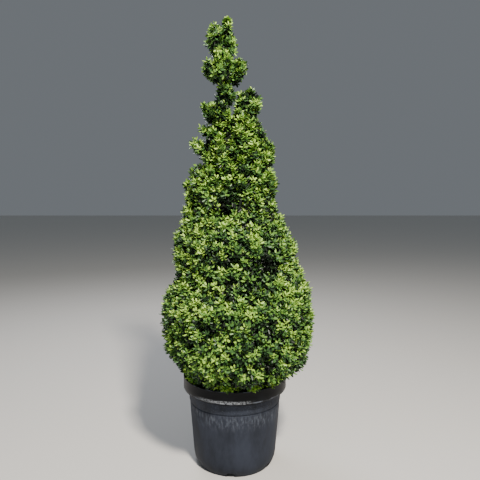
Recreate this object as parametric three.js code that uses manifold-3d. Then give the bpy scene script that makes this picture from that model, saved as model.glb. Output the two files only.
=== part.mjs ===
// Potted Japanese holly: a loose evergreen cone grown round one leader, in a round black nursery pot.
// Millimetres, +Z up. The origin is the middle of the pot's flat underside, and the front faces -Y.
//
// The crown is parted into masses of foliage, and each keeps to a space of its own: a cell of the cone
// between two heights and two bearings, or a tuft near the leader. One bough reaches each mass and ends
// where it enters, or the mass grows on the leader itself. A stem goes on from there, and twigs that end in
// whorls of large leaves branch from it by one seeded rule and stand out of a smaller core.
import * as THREE from "three";
import { mergeVertices } from "three/addons/utils/BufferGeometryUtils.js";
import Module from "manifold-3d";

const wasm = await Module();
wasm.setup();

// Pot: a collar round the rim, a band under it, a tapered body and a rounded heel
const POT_HEIGHT = 430;
const POT_SIDES = 28;
const RIM_RADIUS = 249;
const COLLAR_HEIGHT = 57;
const BAND_HEIGHT = 61;
const BAND_RADIUS = 223;
const BODY_RADIUS = 218.5;
const HEEL_HEIGHT = 58;
const HEEL_RADIUS = 201;
const FOOT_RADIUS = 184;
const POT_WALL = 4;
const POT_FLOOR = 6;
const POT_EDGE = 4;

// Drains: notches in the pot's bottom edge
const DRAIN_COUNT = 6;
const DRAIN_FIRST_BEARING = 265;
const DRAIN_WIDTH = 60;
const DRAIN_TOP_WIDTH = 34;
const DRAIN_HEIGHT = 22;
const DRAIN_DEPTH = 34;

// Soil, and the gap that parts touching solids
const SOIL_TOP = 392;
const GAP = 0.3;

// Trunk: height, place across and in depth, and radius, from the flat cut at the soil to the tip
const TRUNK_STATIONS = [
  [SOIL_TOP + GAP, 0, 0, 20],
  [640, 9, -6, 17],
  [900, -7, 4, 14],
  [1180, 5, 7, 11],
  [1420, -17, 2, 8.5],
  [1640, -42, -4, 6.5],
  [1800, -54, 2, 5],
  [1905, -58, 0, 4],
];
const TRUNK_RINGS = 15;
const TRUNK_SIDES = 10;
const ROOT_FLARE = 0.55;
const ROOT_FLARE_HEIGHT = 36;
const ROOT_COUNT = 5;

// Crown: the radius that the leaf tips reach to the right and to the left, by height
const CROWN_STATIONS = [
  [438, 250, 240],
  [490, 330, 288],
  [550, 362, 336],
  [720, 380, 360],
  [800, 377, 360],
  [860, 368, 325],
  [920, 335, 288],
  [1000, 303, 293],
  [1090, 294, 288],
  [1200, 226, 254],
  [1330, 192, 238],
  [1440, 190, 194],
  [1510, 184, 190],
  [1556, 158, 132],
  [1600, 148, 110],
  [1640, 122, 92],
];

// Tiers of masses, lowest first: their heights, how many masses stand round the trunk, the bearing of the
// first in degrees from the right, the radius of the free space round the trunk, how many twigs a mass
// sends out and the length of their leaves
const TIERS = [
  { name: "skirt", low: 438, high: 775, count: 6, bearing: 15, inner: 84, twigs: 6, leaf: 66 },
  { name: "belly", low: 775, high: 1065, count: 5, bearing: 40, inner: 76, twigs: 6, leaf: 64 },
  { name: "waist", low: 1065, high: 1325, count: 4, bearing: 20, inner: 64, twigs: 5, leaf: 60 },
  { name: "shoulder", low: 1325, high: 1628, count: 3, bearing: 30, inner: 50, twigs: 6, leaf: 54 },
];
// The borders between masses wander up and down, sink outwards and swirl round the trunk.
const BORDER_WANDER = 8;
const BORDER_SINK = 24;
const BORDER_SWIRL = 0.2;

// Tufts round the leader. "from" is the height where the bough leaves the trunk, and a tuft without it
// grows on the leader itself, from "foot". Its middle "at" and its half sizes go across, in depth and up.
// The top is narrower than the bottom by the share "taper" and leans over by twice "lean".
const TUFTS = [
  { name: "wing_left", from: 1592, at: [-92, -4, 1684], half: [58, 46, 50], lean: -8, twigs: 4 },
  { name: "wing_right", from: 1580, at: [68, -4, 1704], half: [62, 52, 70], taper: 0.32, lean: 6, twigs: 5 },
  { name: "wing_front", from: 1560, at: [-62, -84, 1674], half: [42, 34, 40], twigs: 3 },
  { name: "wing_back", from: 1570, at: [40, 86, 1678], half: [46, 34, 44], twigs: 3 },
  { name: "neck_front", foot: 1712, at: [-26, -39, 1740], half: [42, 33, 40], lean: -6, twigs: 2 },
  { name: "neck_back", foot: 1724, at: [-32, 41, 1746], half: [40, 33, 38], lean: -6, twigs: 2 },
  { name: "leader_left", from: 1786, at: [-104, 4, 1850], half: [36, 42, 50], lean: -3, twigs: 3 },
  { name: "leader_right", from: 1772, at: [4, -4, 1844], half: [46, 44, 58], lean: 6, twigs: 4 },
  { name: "leader_front", foot: 1800, at: [-54, -82, 1852], half: [42, 32, 44], lean: -3, twigs: 2 },
  { name: "leader_back", foot: 1812, at: [-58, 81, 1850], half: [42, 32, 44], lean: -3, twigs: 2 },
  { name: "leader_top", foot: 1905, at: [-58, 0, 2008], half: [70, 60, 100], taper: 0.28, lean: 6, twigs: 6 },
];
const TUFT_LEAF = 44;

// Cores: how much of a space they fill, how far in they stay below the twigs, how uneven they are and how
// many faces they have
const ROUNDNESS = 5;
const CORE_SHARE = 0.97;
const CORE_INNER = -0.9;
const CORE_DEPTH = 14;
const CORE_UNEVENNESS = 0.13;
const CORE_EDGE = 0.13;
const CORE_FACES_ROUND = 20;
const CORE_FACES_HIGH = 4;
const TUFT_ROUNDNESS = 2.6;
const TUFT_CORE_SHARE = 0.74;
const TUFT_CORE_FACES = [2, 3, 2];

// Boughs: where they leave the trunk and enter a mass, and how they bend and taper
const BOUGH_SIDES = 4;
const BOUGH_RINGS = 3;
const BOUGH_STEP = 21;
const BOUGH_DROP = 1.7;
const BOUGH_ENTRY = 22;
const BOUGH_ENTRY_SHARE = 0.34;
const BOUGH_BEND = 0.34;
const BOUGH_TAPER = 0.42;
const BOUGH_RADIUS = 4.5;
const BOUGH_SWELL = 0.025;
const TUFT_ENTRY = -0.82;
const TUFT_ENTRY_INWARD = 0.4;

// Stems and twigs
const STEM_RADIUS = 5;
const STEM_SIDES = 5;
const STEM_RINGS = 3;
const STEM_TAPER = 0.2;
const STEM_BRANCHING = [0.4, 1];
const TWIG_RADIUS = 4.4;
const TWIG_SIDES = 3;
const TWIG_DEPTH = 0.5;
const TWIG_BEND = 16;
const TWIG_REACH = [0.82, 0.88];

// Leaves: whorls of three at the end of a twig, turned aside and leaning out from it
const WHORLS = [
  { turn: -24, lean: 76 },
  { turn: 32, lean: 50 },
];
const WHORL_STEP = 7;
const LEAF_LEAN_RANGE = 16;
const LEAF_BREADTH = 0.56;
const LEAF_WIDEST = 0.55;
const LEAF_THICKNESS = 3;

// Shared growth values: the least edges kept in a joined mass and in a cut solid, and the steps that
// spread twigs evenly
const SMALLEST_EDGE = 0.4;
const SMALLEST_CUT = 0.03;
const GOLDEN_ANGLE = Math.PI * (3 - Math.sqrt(5));
const PLASTIC_STEP = 0.7548776662;

// Colours
const BARK = { color: 0x6e6252, roughness: 0.85, metalness: 0 };
const FOLIAGE = { color: 0x5c7d26, roughness: 0.5, metalness: 0 };
const POT_PLASTIC = { color: 0x2b2e31, roughness: 0.6, metalness: 0 };
const PEAT = { color: 0x2a1f18, roughness: 1, metalness: 0 };

const radians = THREE.MathUtils.degToRad;
const vector = (x, y, z) => new THREE.Vector3(x, y, z);
const range = (count, make) => Array.from({ length: count }, (_, index) => make(index));

// A repeatable number from 0 to 1 for a count and a seed.
function chance(count, seed) {
  const wave = Math.sin(count * 12.9898 + seed * 78.233) * 43758.5453;
  return wave - Math.floor(wave);
}

// A direction drawn out to the surface of a rounded block with half sizes of 1. A power of 2 gives a ball,
// and higher ones a fuller block.
function rounded(direction, power) {
  const sum = direction.toArray().reduce((total, part) => total + Math.abs(part) ** power, 0);
  return direction.multiplyScalar(sum ** (-1 / power));
}

// The values at a height, on smooth curves through stations of [height, value, value...].
function alongStations(stations, height) {
  const last = stations.length - 1;
  const at = THREE.MathUtils.clamp(height, stations[0][0], stations[last][0]);
  const above = stations.findIndex(([top], index) => index > 0 && at <= top);
  const [low, high] = [stations[above - 1], stations[above]];
  const width = high[0] - low[0];
  const share = (at - low[0]) / width;
  const slope = (index, column) => {
    const before = stations[Math.max(index - 1, 0)];
    const after = stations[Math.min(index + 1, last)];
    return ((after[column] - before[column]) / (after[0] - before[0])) * width;
  };
  return low.slice(1).map((value, index) => {
    const column = index + 1;
    const rise = high[column] - value;
    const start = slope(above - 1, column);
    const end = slope(above, column);
    return value + share * (start + share * (3 * rise - 2 * start - end + share * (start + end - 2 * rise)));
  });
}

// A solid from a geometry's closed mesh.
function solidOf(geometry) {
  const bare = new THREE.BufferGeometry().setAttribute("position", geometry.getAttribute("position"));
  if (geometry.index) bare.setIndex(geometry.index);
  const merged = mergeVertices(bare, 1e-3);
  return new wasm.Manifold(
    new wasm.Mesh({
      numProp: 3,
      vertProperties: new Float32Array(merged.getAttribute("position").array),
      triVerts: new Uint32Array(merged.index.array),
    }),
  );
}

// A geometry from a solid.
function geometryOf(solid) {
  const mesh = solid.getMesh();
  return new THREE.BufferGeometry()
    .setAttribute("position", new THREE.BufferAttribute(new Float32Array(mesh.vertProperties), 3))
    .setIndex(new THREE.BufferAttribute(new Uint32Array(mesh.triVerts), 1));
}

// The largest body of a cut solid, without loose scraps, sealed hollows and slivers.
function largestBody(solid) {
  const bodies = solid.simplify(SMALLEST_CUT).decompose();
  return bodies.reduce((best, body) => (body.volume() > best.volume() ? body : best));
}

// The faces of a blade that grows out of a side of a skin. It goes from the side's four corners over a
// middle of four points (below, right, above, left) to a tip. "first" counts the points before the blade.
function bladeFaces([low, lowNext, highNext, high], first) {
  const [below, right, above, left, tip] = range(5, (index) => first + index);
  return [
    [low, lowNext, below],
    [lowNext, highNext, right],
    [highNext, high, above],
    [high, low, left],
    [lowNext, right, below],
    [highNext, above, right],
    [high, left, above],
    [low, below, left],
    [below, right, tip],
    [right, above, tip],
    [above, left, tip],
    [left, below, tip],
  ].flat();
}

// A closed skin over rings that hold the same number of points, with both ends shut. "grow" may give the
// five points of a blade that grows out of one side between two rings.
function skin(rings, grow = () => null) {
  const sides = rings[0].length;
  const top = (rings.length - 1) * sides;
  const points = rings.flat();
  const faces = [];
  for (let first = 0; first < top; first += sides) {
    for (let side = 0; side < sides; side += 1) {
      const next = first + ((side + 1) % sides);
      const [low, lowNext, highNext, high] = [first + side, next, next + sides, first + side + sides];
      const blade = grow(first / sides, side, [low, highNext].map((corner) => points[corner]));
      if (blade) {
        faces.push(...bladeFaces([low, lowNext, highNext, high], points.length));
        points.push(...blade);
      } else {
        faces.push(low, lowNext, highNext, low, highNext, high);
      }
    }
  }
  for (let side = 1; side < sides - 1; side += 1) {
    faces.push(0, side + 1, side, top, top + side, top + side + 1);
  }
  return new THREE.BufferGeometry().setFromPoints(points).setIndex(faces);
}

// A limb along a line of points, with a radius at each. Its rings stay square to the line.
function limb(line, radii, sides, grow) {
  let across = null;
  const rings = line.map((point, index) => {
    const before = line[Math.max(index - 1, 0)];
    const after = line[Math.min(index + 1, line.length - 1)];
    const ahead = after.clone().sub(before).normalize();
    const guide = across ?? (Math.abs(ahead.x) < 0.8 ? vector(1, 0, 0) : vector(0, 1, 0));
    across = guide.clone().addScaledVector(ahead, -guide.dot(ahead)).normalize();
    const beside = ahead.clone().cross(across);
    return range(sides, (side) => {
      const turn = (2 * Math.PI * side) / sides;
      return point
        .clone()
        .addScaledVector(across, Math.cos(turn) * radii[index])
        .addScaledVector(beside, Math.sin(turn) * radii[index]);
    });
  });
  return skin(rings, grow);
}

// The pot's inner face from the collar down to the floor, moved in by a gap.
function potInside(gap) {
  const wall = POT_WALL + gap;
  const ledge = POT_HEIGHT - COLLAR_HEIGHT;
  return [
    [RIM_RADIUS - wall, ledge + POT_EDGE],
    [BAND_RADIUS - wall, ledge],
    [BODY_RADIUS - wall, ledge - BAND_HEIGHT],
    [HEEL_RADIUS - wall, HEEL_HEIGHT],
    [FOOT_RADIUS - wall, POT_FLOOR + gap],
  ];
}

// The whole profile of the pot, from the middle of the underside round to the middle of the floor.
function potProfile() {
  const ledge = POT_HEIGHT - COLLAR_HEIGHT;
  const band = ledge - BAND_HEIGHT;
  return [
    [0, 0],
    [FOOT_RADIUS - POT_EDGE, 0],
    [FOOT_RADIUS, POT_EDGE],
    [HEEL_RADIUS - POT_EDGE, HEEL_HEIGHT / 2],
    [HEEL_RADIUS, HEEL_HEIGHT],
    [BODY_RADIUS, band],
    [BODY_RADIUS + 3, band + 3],
    [BAND_RADIUS, ledge - POT_EDGE],
    [RIM_RADIUS - POT_EDGE, ledge - POT_EDGE],
    [RIM_RADIUS, ledge],
    [RIM_RADIUS, POT_HEIGHT],
    [RIM_RADIUS - POT_WALL, POT_HEIGHT],
    ...potInside(0),
    [0, POT_FLOOR],
  ];
}

function turned(profile) {
  return new THREE.LatheGeometry(
    profile.map(([radius, height]) => new THREE.Vector2(radius, height)),
    POT_SIDES,
  ).rotateX(Math.PI / 2);
}

// The block that cuts one drain, pointing out to a bearing.
function drain(bearing) {
  const half = DRAIN_WIDTH / 2;
  const top = DRAIN_TOP_WIDTH / 2;
  const outline = new THREE.Shape([
    new THREE.Vector2(-half, -DRAIN_HEIGHT),
    new THREE.Vector2(half, -DRAIN_HEIGHT),
    new THREE.Vector2(half, DRAIN_HEIGHT / 3),
    new THREE.Vector2(top, DRAIN_HEIGHT),
    new THREE.Vector2(-top, DRAIN_HEIGHT),
    new THREE.Vector2(-half, DRAIN_HEIGHT / 3),
  ]);
  return new THREE.ExtrudeGeometry(outline, { depth: DRAIN_DEPTH * 2, bevelEnabled: false })
    .translate(0, 0, FOOT_RADIUS - DRAIN_DEPTH)
    .rotateX(Math.PI / 2)
    .rotateZ(radians(bearing + 90));
}

function pot() {
  const step = 360 / DRAIN_COUNT;
  const drains = range(DRAIN_COUNT, (index) => solidOf(drain(DRAIN_FIRST_BEARING + step * index)));
  return geometryOf(solidOf(turned(potProfile())).subtract(wasm.Manifold.union(drains)));
}

function soil() {
  const brim = [RIM_RADIUS - POT_WALL - GAP, SOIL_TOP];
  return turned([[0, POT_FLOOR + GAP], ...potInside(GAP).reverse(), brim, [0, SOIL_TOP]]);
}

function trunkPoint(height) {
  const [x, y] = alongStations(TRUNK_STATIONS, height);
  return vector(x, y, height);
}

// Trunk: level rings with roots that swell the foot. "spare" fattens it, for cutting other pieces.
function trunk(spare = 0) {
  const foot = TRUNK_STATIONS[0][0];
  const tip = TRUNK_STATIONS[TRUNK_STATIONS.length - 1][0];
  const rings = range(TRUNK_RINGS + 1, (ring) => {
    const height = foot + (tip - foot) * (ring / TRUNK_RINGS) ** 1.3;
    const [x, y, radius] = alongStations(TRUNK_STATIONS, height);
    const flare = ROOT_FLARE * Math.exp((foot - height) / ROOT_FLARE_HEIGHT);
    const lift = ring === TRUNK_RINGS ? spare : 0;
    return range(TRUNK_SIDES, (side) => {
      const turn = (2 * Math.PI * side) / TRUNK_SIDES;
      const reach = spare + radius * (1 + flare * (0.65 + 0.35 * Math.cos(ROOT_COUNT * turn)));
      return vector(x + Math.cos(turn) * reach, y + Math.sin(turn) * reach, height + lift);
    });
  });
  return skin(rings);
}

// A space of the tiers. u runs round, v runs up and w runs outwards, each from -1 to 1.
class Cell {
  constructor(tier, index) {
    this.name = `${tier.name}_${index + 1}`;
    this.tier = tier;
    this.bearing = radians(tier.bearing) + (2 * Math.PI * index) / tier.count;
    this.halfTurn = Math.PI / tier.count;
    this.rank = (index * 2) % tier.count;
    this.leafLength = tier.leaf;
  }

  // The lower and upper border of the tier at a bearing and a depth.
  borders(bearing, w) {
    const wander = (height) => height + BORDER_WANDER * Math.sin(2 * bearing + height / 77) - BORDER_SINK * w;
    const { low, high } = this.tier;
    const isLowest = low === TIERS[0].low;
    const isHighest = high === TIERS[TIERS.length - 1].high;
    return [isLowest ? low : wander(low), isHighest ? high : wander(high)];
  }

  outer(height, bearing) {
    const [right, left] = alongStations(CROWN_STATIONS, height);
    return (right + left) / 2 + (Math.cos(bearing) * (right - left)) / 2;
  }

  toWorld(u, v, w) {
    const bearing = this.bearing + u * this.halfTurn + w * BORDER_SWIRL;
    const [low, high] = this.borders(bearing, w);
    const height = (low + high + v * (high - low)) / 2;
    const outer = this.outer(height, bearing);
    const radius = (this.tier.inner + outer + w * (outer - this.tier.inner)) / 2;
    return vector(Math.cos(bearing) * radius, Math.sin(bearing) * radius, height);
  }

  toLocal(point) {
    const bearing = Math.atan2(point.y, point.x);
    const outer = this.outer(point.z, bearing);
    const { inner } = this.tier;
    const w = (2 * Math.hypot(point.x, point.y) - inner - outer) / (outer - inner);
    const turn = bearing - this.bearing - w * BORDER_SWIRL + Math.PI;
    const u = (THREE.MathUtils.euclideanModulo(turn, 2 * Math.PI) - Math.PI) / this.halfTurn;
    const [low, high] = this.borders(bearing, w);
    return vector(u, (2 * point.z - low - high) / (high - low), w);
  }

  // Half sizes round, up and outwards at the middle.
  get half() {
    const middle = (this.tier.low + this.tier.high) / 2;
    const outer = this.outer(middle, this.bearing);
    return vector(outer * this.halfTurn, middle - this.tier.low, (outer - this.tier.inner) / 2);
  }

  // A point of the core, which fills the cell up to its neighbours, and outwards to where the twigs end.
  inCore(corner, sunk) {
    const { x, z } = rounded(corner.clone().setY(0), ROUNDNESS);
    const outermost = 1 - (TWIG_DEPTH * this.leafLength + CORE_DEPTH) / this.half.z;
    const w = (outermost + CORE_INNER + z * (outermost - CORE_INNER)) / 2;
    const edge = CORE_EDGE * corner.y ** 4;
    return this.toWorld(x * CORE_SHARE, corner.y * CORE_SHARE, z > 0 ? w - sunk - edge : w);
  }

  get coreFaces() {
    return [Math.ceil(CORE_FACES_ROUND / this.tier.count), CORE_FACES_HIGH, 1];
  }

  // Where the stem ends, and the places on the outer side that the twigs grow towards.
  get stemEnd() {
    return this.toWorld(0, 0.3, 0.2);
  }

  twigAims(seed) {
    return range(this.tier.twigs, (index) => {
      const [u, v] = TWIG_REACH.map((reach, side) => {
        const share = (index * PLASTIC_STEP ** (side + 1) + chance(seed, side + 1)) % 1;
        return reach * (2 * share - 1);
      });
      const aim = this.toWorld(u, v, 1);
      return { v, aim, outward: aim.clone().sub(this.toWorld(u, v, 0.5)).normalize() };
    });
  }

  // The bough leaves the trunk below the mass, each a step above the last so that none touch, and ends
  // a little way in.
  get bough() {
    const { low, high, inner } = this.tier;
    const entry = low + (high - low) * BOUGH_ENTRY_SHARE;
    const lowest = Math.max(entry - BOUGH_DROP * inner, SOIL_TOP + 2 * BOUGH_STEP);
    return {
      from: lowest + BOUGH_STEP * this.rank,
      tip: this.toWorld(0, 2 * BOUGH_ENTRY_SHARE - 1, BOUGH_ENTRY / this.half.z - 1),
      radius: BOUGH_RADIUS + this.half.x * BOUGH_SWELL,
    };
  }
}

// A space round the leader. u runs across, v runs up and w runs to the front.
class Tuft {
  constructor(tuft) {
    this.name = tuft.name;
    this.tuft = { taper: 0, lean: 0, ...tuft };
    this.middle = vector(...tuft.at);
    this.leafLength = Math.min(TUFT_LEAF, ...tuft.half);
  }

  width(v) {
    return 1 - (this.tuft.taper * (v + 1)) / 2;
  }

  toWorld(u, v, w) {
    const [across, deep, high] = this.tuft.half;
    const width = this.width(v);
    return vector(u * across * width + this.tuft.lean * v, -w * deep * width, v * high).add(this.middle);
  }

  toLocal(point) {
    const [across, deep, high] = this.tuft.half;
    const from = point.clone().sub(this.middle);
    const v = from.z / high;
    const width = this.width(v);
    return vector((from.x - this.tuft.lean * v) / (across * width), v, -from.y / (deep * width));
  }

  get half() {
    const [across, deep, high] = this.tuft.half;
    return vector(across, high, deep);
  }

  // A point of the core, a share of the tuft's size.
  inCore(corner, sunk) {
    const place = rounded(corner, TUFT_ROUNDNESS).multiplyScalar(TUFT_CORE_SHARE * (1 - sunk));
    return this.toWorld(...place.toArray());
  }

  get coreFaces() {
    return TUFT_CORE_FACES;
  }

  get stemEnd() {
    return this.toWorld(0, 0.5, 0);
  }

  // The places all round that the twigs grow towards.
  twigAims(seed) {
    return range(this.tuft.twigs, (index) => {
      const v = 1 - (2 * (index + 0.5)) / this.tuft.twigs;
      const turn = index * GOLDEN_ANGLE + seed;
      const ring = Math.sqrt(1 - v * v);
      const direction = vector(Math.cos(turn) * ring, v, Math.sin(turn) * ring);
      const aim = this.toWorld(...rounded(direction, ROUNDNESS).toArray());
      return { v, aim, outward: aim.clone().sub(this.toWorld(0, v * 0.6, 0)).normalize() };
    });
  }

  // The bough enters from below, on the side of the leader.
  get bough() {
    if (!this.tuft.from) return null;
    const tip = this.toWorld(0, TUFT_ENTRY, 0);
    const inward = trunkPoint(tip.z).sub(tip).setZ(0).normalize();
    tip.addScaledVector(inward, Math.min(this.half.x, this.half.z) * TUFT_ENTRY_INWARD);
    return { from: this.tuft.from, tip, radius: BOUGH_RADIUS };
  }
}

// Whether a point lies in a space with room to spare.
function isInside(space, point) {
  const local = space.toLocal(point);
  const { x, y, z } = space.half;
  return Math.abs(local.x) < 1 - 2 / x && Math.abs(local.y) < 1 - 2 / y && Math.abs(local.z) < 1 - 1 / z;
}

// Core: a rounded, uneven block of few faces in the middle of a mass.
function core(space, seed) {
  const block = new THREE.BoxGeometry(2, 2, 2, ...space.coreFaces);
  const merged = mergeVertices(block.deleteAttribute("normal").deleteAttribute("uv"), 1e-4);
  const places = merged.getAttribute("position");
  for (let index = 0; index < places.count; index += 1) {
    const corner = new THREE.Vector3().fromBufferAttribute(places, index);
    const point = space.inCore(corner, CORE_UNEVENNESS * chance(index, seed));
    places.setXYZ(index, point.x, point.y, point.z);
  }
  return solidOf(merged);
}

// Leaf: the middle and tip of a flat blade, widest a little past its middle.
function leaf(root, ahead, facing, length) {
  const across = facing.clone().cross(ahead).normalize();
  const up = ahead.clone().cross(across);
  const widest = root.clone().addScaledVector(ahead, length * LEAF_WIDEST);
  return [
    widest.clone().addScaledVector(up, -LEAF_THICKNESS / 2),
    widest.clone().addScaledVector(across, (length * LEAF_BREADTH) / 2),
    widest.clone().addScaledVector(up, LEAF_THICKNESS / 2),
    widest.clone().addScaledVector(across, (-length * LEAF_BREADTH) / 2),
    root.clone().addScaledVector(ahead, length),
  ];
}

// Whether points lie in a space and what they span is clear of the limbs.
function isFree(space, points, limbs) {
  const span = wasm.Manifold.hull(points.map((point) => point.toArray()));
  return points.every((point) => isInside(space, point)) && span.intersect(limbs).isEmpty();
}

// Twigs and leaves of one mass. A twig bends outwards and ends in whorls of leaves that grow out of its
// three sides. A twig or leaf that would leave the space or touch a limb is skipped, and so is a twig that
// has no room between the stem and its whorls.
function shoots(space, stem, seed, limbs) {
  return space.twigAims(seed).flatMap(({ v, aim, outward }, index) => {
    const along = (below) => aim.clone().addScaledVector(outward, -TWIG_DEPTH * space.leafLength - below);
    const whorls = WHORLS.map((_, whorl) => along(WHORL_STEP * (WHORLS.length - whorl)));
    const root = stem.getPoint(THREE.MathUtils.mapLinear(v, -1, 1, ...STEM_BRANCHING));
    const room = whorls[0].clone().sub(root).dot(outward);
    if (room < TWIG_RADIUS) return [];
    const bend = along(WHORL_STEP * WHORLS.length + Math.min(TWIG_BEND, room / 2));
    const line = [root, bend, ...whorls, along(0)];
    const grow = (segment, side, [low, high]) => {
      const whorl = WHORLS[segment - (line.length - 1 - WHORLS.length)];
      if (!whorl) return null;
      const foot = low.clone().lerp(high, 0.5);
      const aside = foot.clone().sub(line[segment].clone().lerp(line[segment + 1], 0.5)).normalize();
      aside.applyAxisAngle(outward, radians(whorl.turn));
      const lean = radians(whorl.lean + LEAF_LEAN_RANGE * (chance(3 * index + side, seed + segment) - 0.5));
      const ahead = outward.clone().multiplyScalar(Math.cos(lean)).addScaledVector(aside, Math.sin(lean));
      const facing = outward.clone().multiplyScalar(Math.sin(lean)).addScaledVector(aside, -Math.cos(lean));
      const blade = leaf(foot, ahead, facing, space.leafLength);
      return isFree(space, [foot, ...blade], limbs) ? blade : null;
    };
    const twig = solidOf(limb(line, line.map(() => TWIG_RADIUS), TWIG_SIDES, grow));
    return isInside(space, along(0)) && twig.intersect(limbs).isEmpty() ? [twig] : [];
  });
}

// Mass: core, stem, twigs and leaves as one solid that is clear of every limb.
function mass(space, seed, limbs) {
  const foot = space.bough ? space.bough.tip : trunkPoint(space.tuft.foot);
  const stem = new THREE.QuadraticBezierCurve3(foot, space.toWorld(0, 0, 0), space.stemEnd);
  const line = stem.getPoints(STEM_RINGS);
  const radii = line.map((_, ring) => STEM_RADIUS * (1 - (STEM_TAPER * ring) / STEM_RINGS));
  const stalk = solidOf(limb(line, radii, STEM_SIDES));
  const parts = [core(space, seed), stalk, ...shoots(space, stem, seed, limbs)];
  return largestBody(wasm.Manifold.union(parts).simplify(SMALLEST_EDGE).subtract(limbs));
}

// Bough: one tapering limb that leaves the trunk, bends outwards and ends in its mass. "spare" fattens
// it, for cutting other pieces.
function bough({ from, tip, radius }, spare = 0) {
  const start = trunkPoint(from);
  const bend = start.clone().lerp(tip, 0.5).setZ(start.z + (tip.z - start.z) * BOUGH_BEND);
  const line = new THREE.QuadraticBezierCurve3(start, bend, tip).getPoints(BOUGH_RINGS);
  const radii = line.map((_, ring) => spare + radius * (1 - (BOUGH_TAPER * ring) / BOUGH_RINGS));
  const end = line[BOUGH_RINGS];
  end.addScaledVector(end.clone().sub(line[BOUGH_RINGS - 1]).normalize(), spare);
  return limb(line, radii, BOUGH_SIDES);
}

const plant = new THREE.Group();

function add(name, geometry, finish) {
  const mesh = new THREE.Mesh(geometry, new THREE.MeshStandardMaterial(finish));
  mesh.name = name;
  plant.add(mesh);
}

add("pot", pot(), POT_PLASTIC);
add("soil", soil(), PEAT);
add("trunk", trunk(), BARK);

const spaces = [
  ...TIERS.flatMap((tier) => range(tier.count, (index) => new Cell(tier, index))),
  ...TUFTS.map((tuft) => new Tuft(tuft)),
];
const carried = spaces.filter((space) => space.bough);
const trunkSpace = solidOf(trunk(GAP));
carried.forEach((space) => {
  const solid = solidOf(bough(space.bough)).subtract(trunkSpace);
  add(`bough_${space.name}`, geometryOf(largestBody(solid)), BARK);
});

const limbs = wasm.Manifold.union([
  trunkSpace,
  ...carried.map((space) => solidOf(bough(space.bough, GAP))),
]);
spaces.forEach((space, index) => {
  add(`foliage_${space.name}`, geometryOf(mass(space, index + 1, limbs)), FOLIAGE);
});

export default plant;
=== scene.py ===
"""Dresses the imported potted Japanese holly: bark, twigs, leaves, nursery pot and potting mix.

The plant is grown again from the sizes and by the rules of its solids: the same trunk, boughs and stems, and
the same spread of twigs over each mass of foliage, carried on to finer twigs, shoots and true-size leaves.
The crown's outline is a few millimetres fuller at its left than that of the solids. Lengths are in
millimetres, and become metres where a mesh is made. The origin is the middle of the pot's flat underside,
+Z is up and the front faces -Y.
"""

import logging
import math
from dataclasses import dataclass, field
from enum import IntEnum
from typing import Sequence

import bmesh
import bpy
import numpy as np
from mathutils import Matrix, Vector, noise


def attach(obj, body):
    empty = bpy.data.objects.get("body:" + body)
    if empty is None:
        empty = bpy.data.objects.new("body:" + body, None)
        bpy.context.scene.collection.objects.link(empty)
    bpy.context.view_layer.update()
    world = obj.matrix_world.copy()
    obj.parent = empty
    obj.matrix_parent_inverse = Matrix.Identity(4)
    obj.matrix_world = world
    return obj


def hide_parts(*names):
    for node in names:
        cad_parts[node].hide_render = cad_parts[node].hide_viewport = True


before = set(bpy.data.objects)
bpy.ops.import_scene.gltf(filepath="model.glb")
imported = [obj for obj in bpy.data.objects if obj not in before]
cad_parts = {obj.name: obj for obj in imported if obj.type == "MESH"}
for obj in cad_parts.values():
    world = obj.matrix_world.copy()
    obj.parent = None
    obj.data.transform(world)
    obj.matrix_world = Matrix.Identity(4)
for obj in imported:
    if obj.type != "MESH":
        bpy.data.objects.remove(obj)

Array = np.ndarray
Span = tuple[float, float]
Place = tuple[float, float, float]

log = logging.getLogger("holly")

METRES = 0.001
BODY = "root"
UP = np.array([0.0, 0.0, 1.0])
GOLDEN_ANGLE = math.pi * (3 - math.sqrt(5))
PLASTIC_STEP = 0.7548776662
MERGE_DISTANCE = 1e-6
NEARLY_ALONG_X = 0.8

# The wave that the solids' rule takes its chance numbers from
CHANCE_STEP = 12.9898
CHANCE_SEED_STEP = 78.233
CHANCE_SCALE = 43758.5453


# Numbers and vectors


def chance(count: Array | float, seed: float) -> Array:
    """Gives a repeatable number from 0 to 1 for a count and a seed, as the solids' rule does."""
    wave = np.sin(np.asarray(count, float) * CHANCE_STEP + seed * CHANCE_SEED_STEP) * CHANCE_SCALE
    return wave - np.floor(wave)


def unit(vectors: Array) -> Array:
    """Scales vectors to a length of 1."""
    return vectors / np.linalg.norm(vectors, axis=-1, keepdims=True)


def rounded(direction: Array, power: float) -> Array:
    """Draws directions out to the surface of a rounded block with half sizes of 1."""
    total = np.sum(np.abs(direction) ** power, axis=-1, keepdims=True)
    return direction * total ** (-1 / power)


def beside(directions: Array) -> tuple[Array, Array]:
    """Finds the ways beside directions.

    Args:
        directions: Directions of length 1.

    Returns:
        Two directions square to each of them and to each other.
    """
    guide = np.where(np.abs(directions[..., :1]) < NEARLY_ALONG_X, [1.0, 0.0, 0.0], [0.0, 1.0, 0.0])
    first = unit(guide - directions * np.sum(guide * directions, axis=-1, keepdims=True))
    return first, np.cross(directions, first)


def bezier(start: Array, bend: Array, end: Array, share: Array) -> Array:
    """Gives points on quadratic curves at shares of their way."""
    return start * (1 - share) ** 2 + bend * 2 * share * (1 - share) + end * share**2


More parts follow.
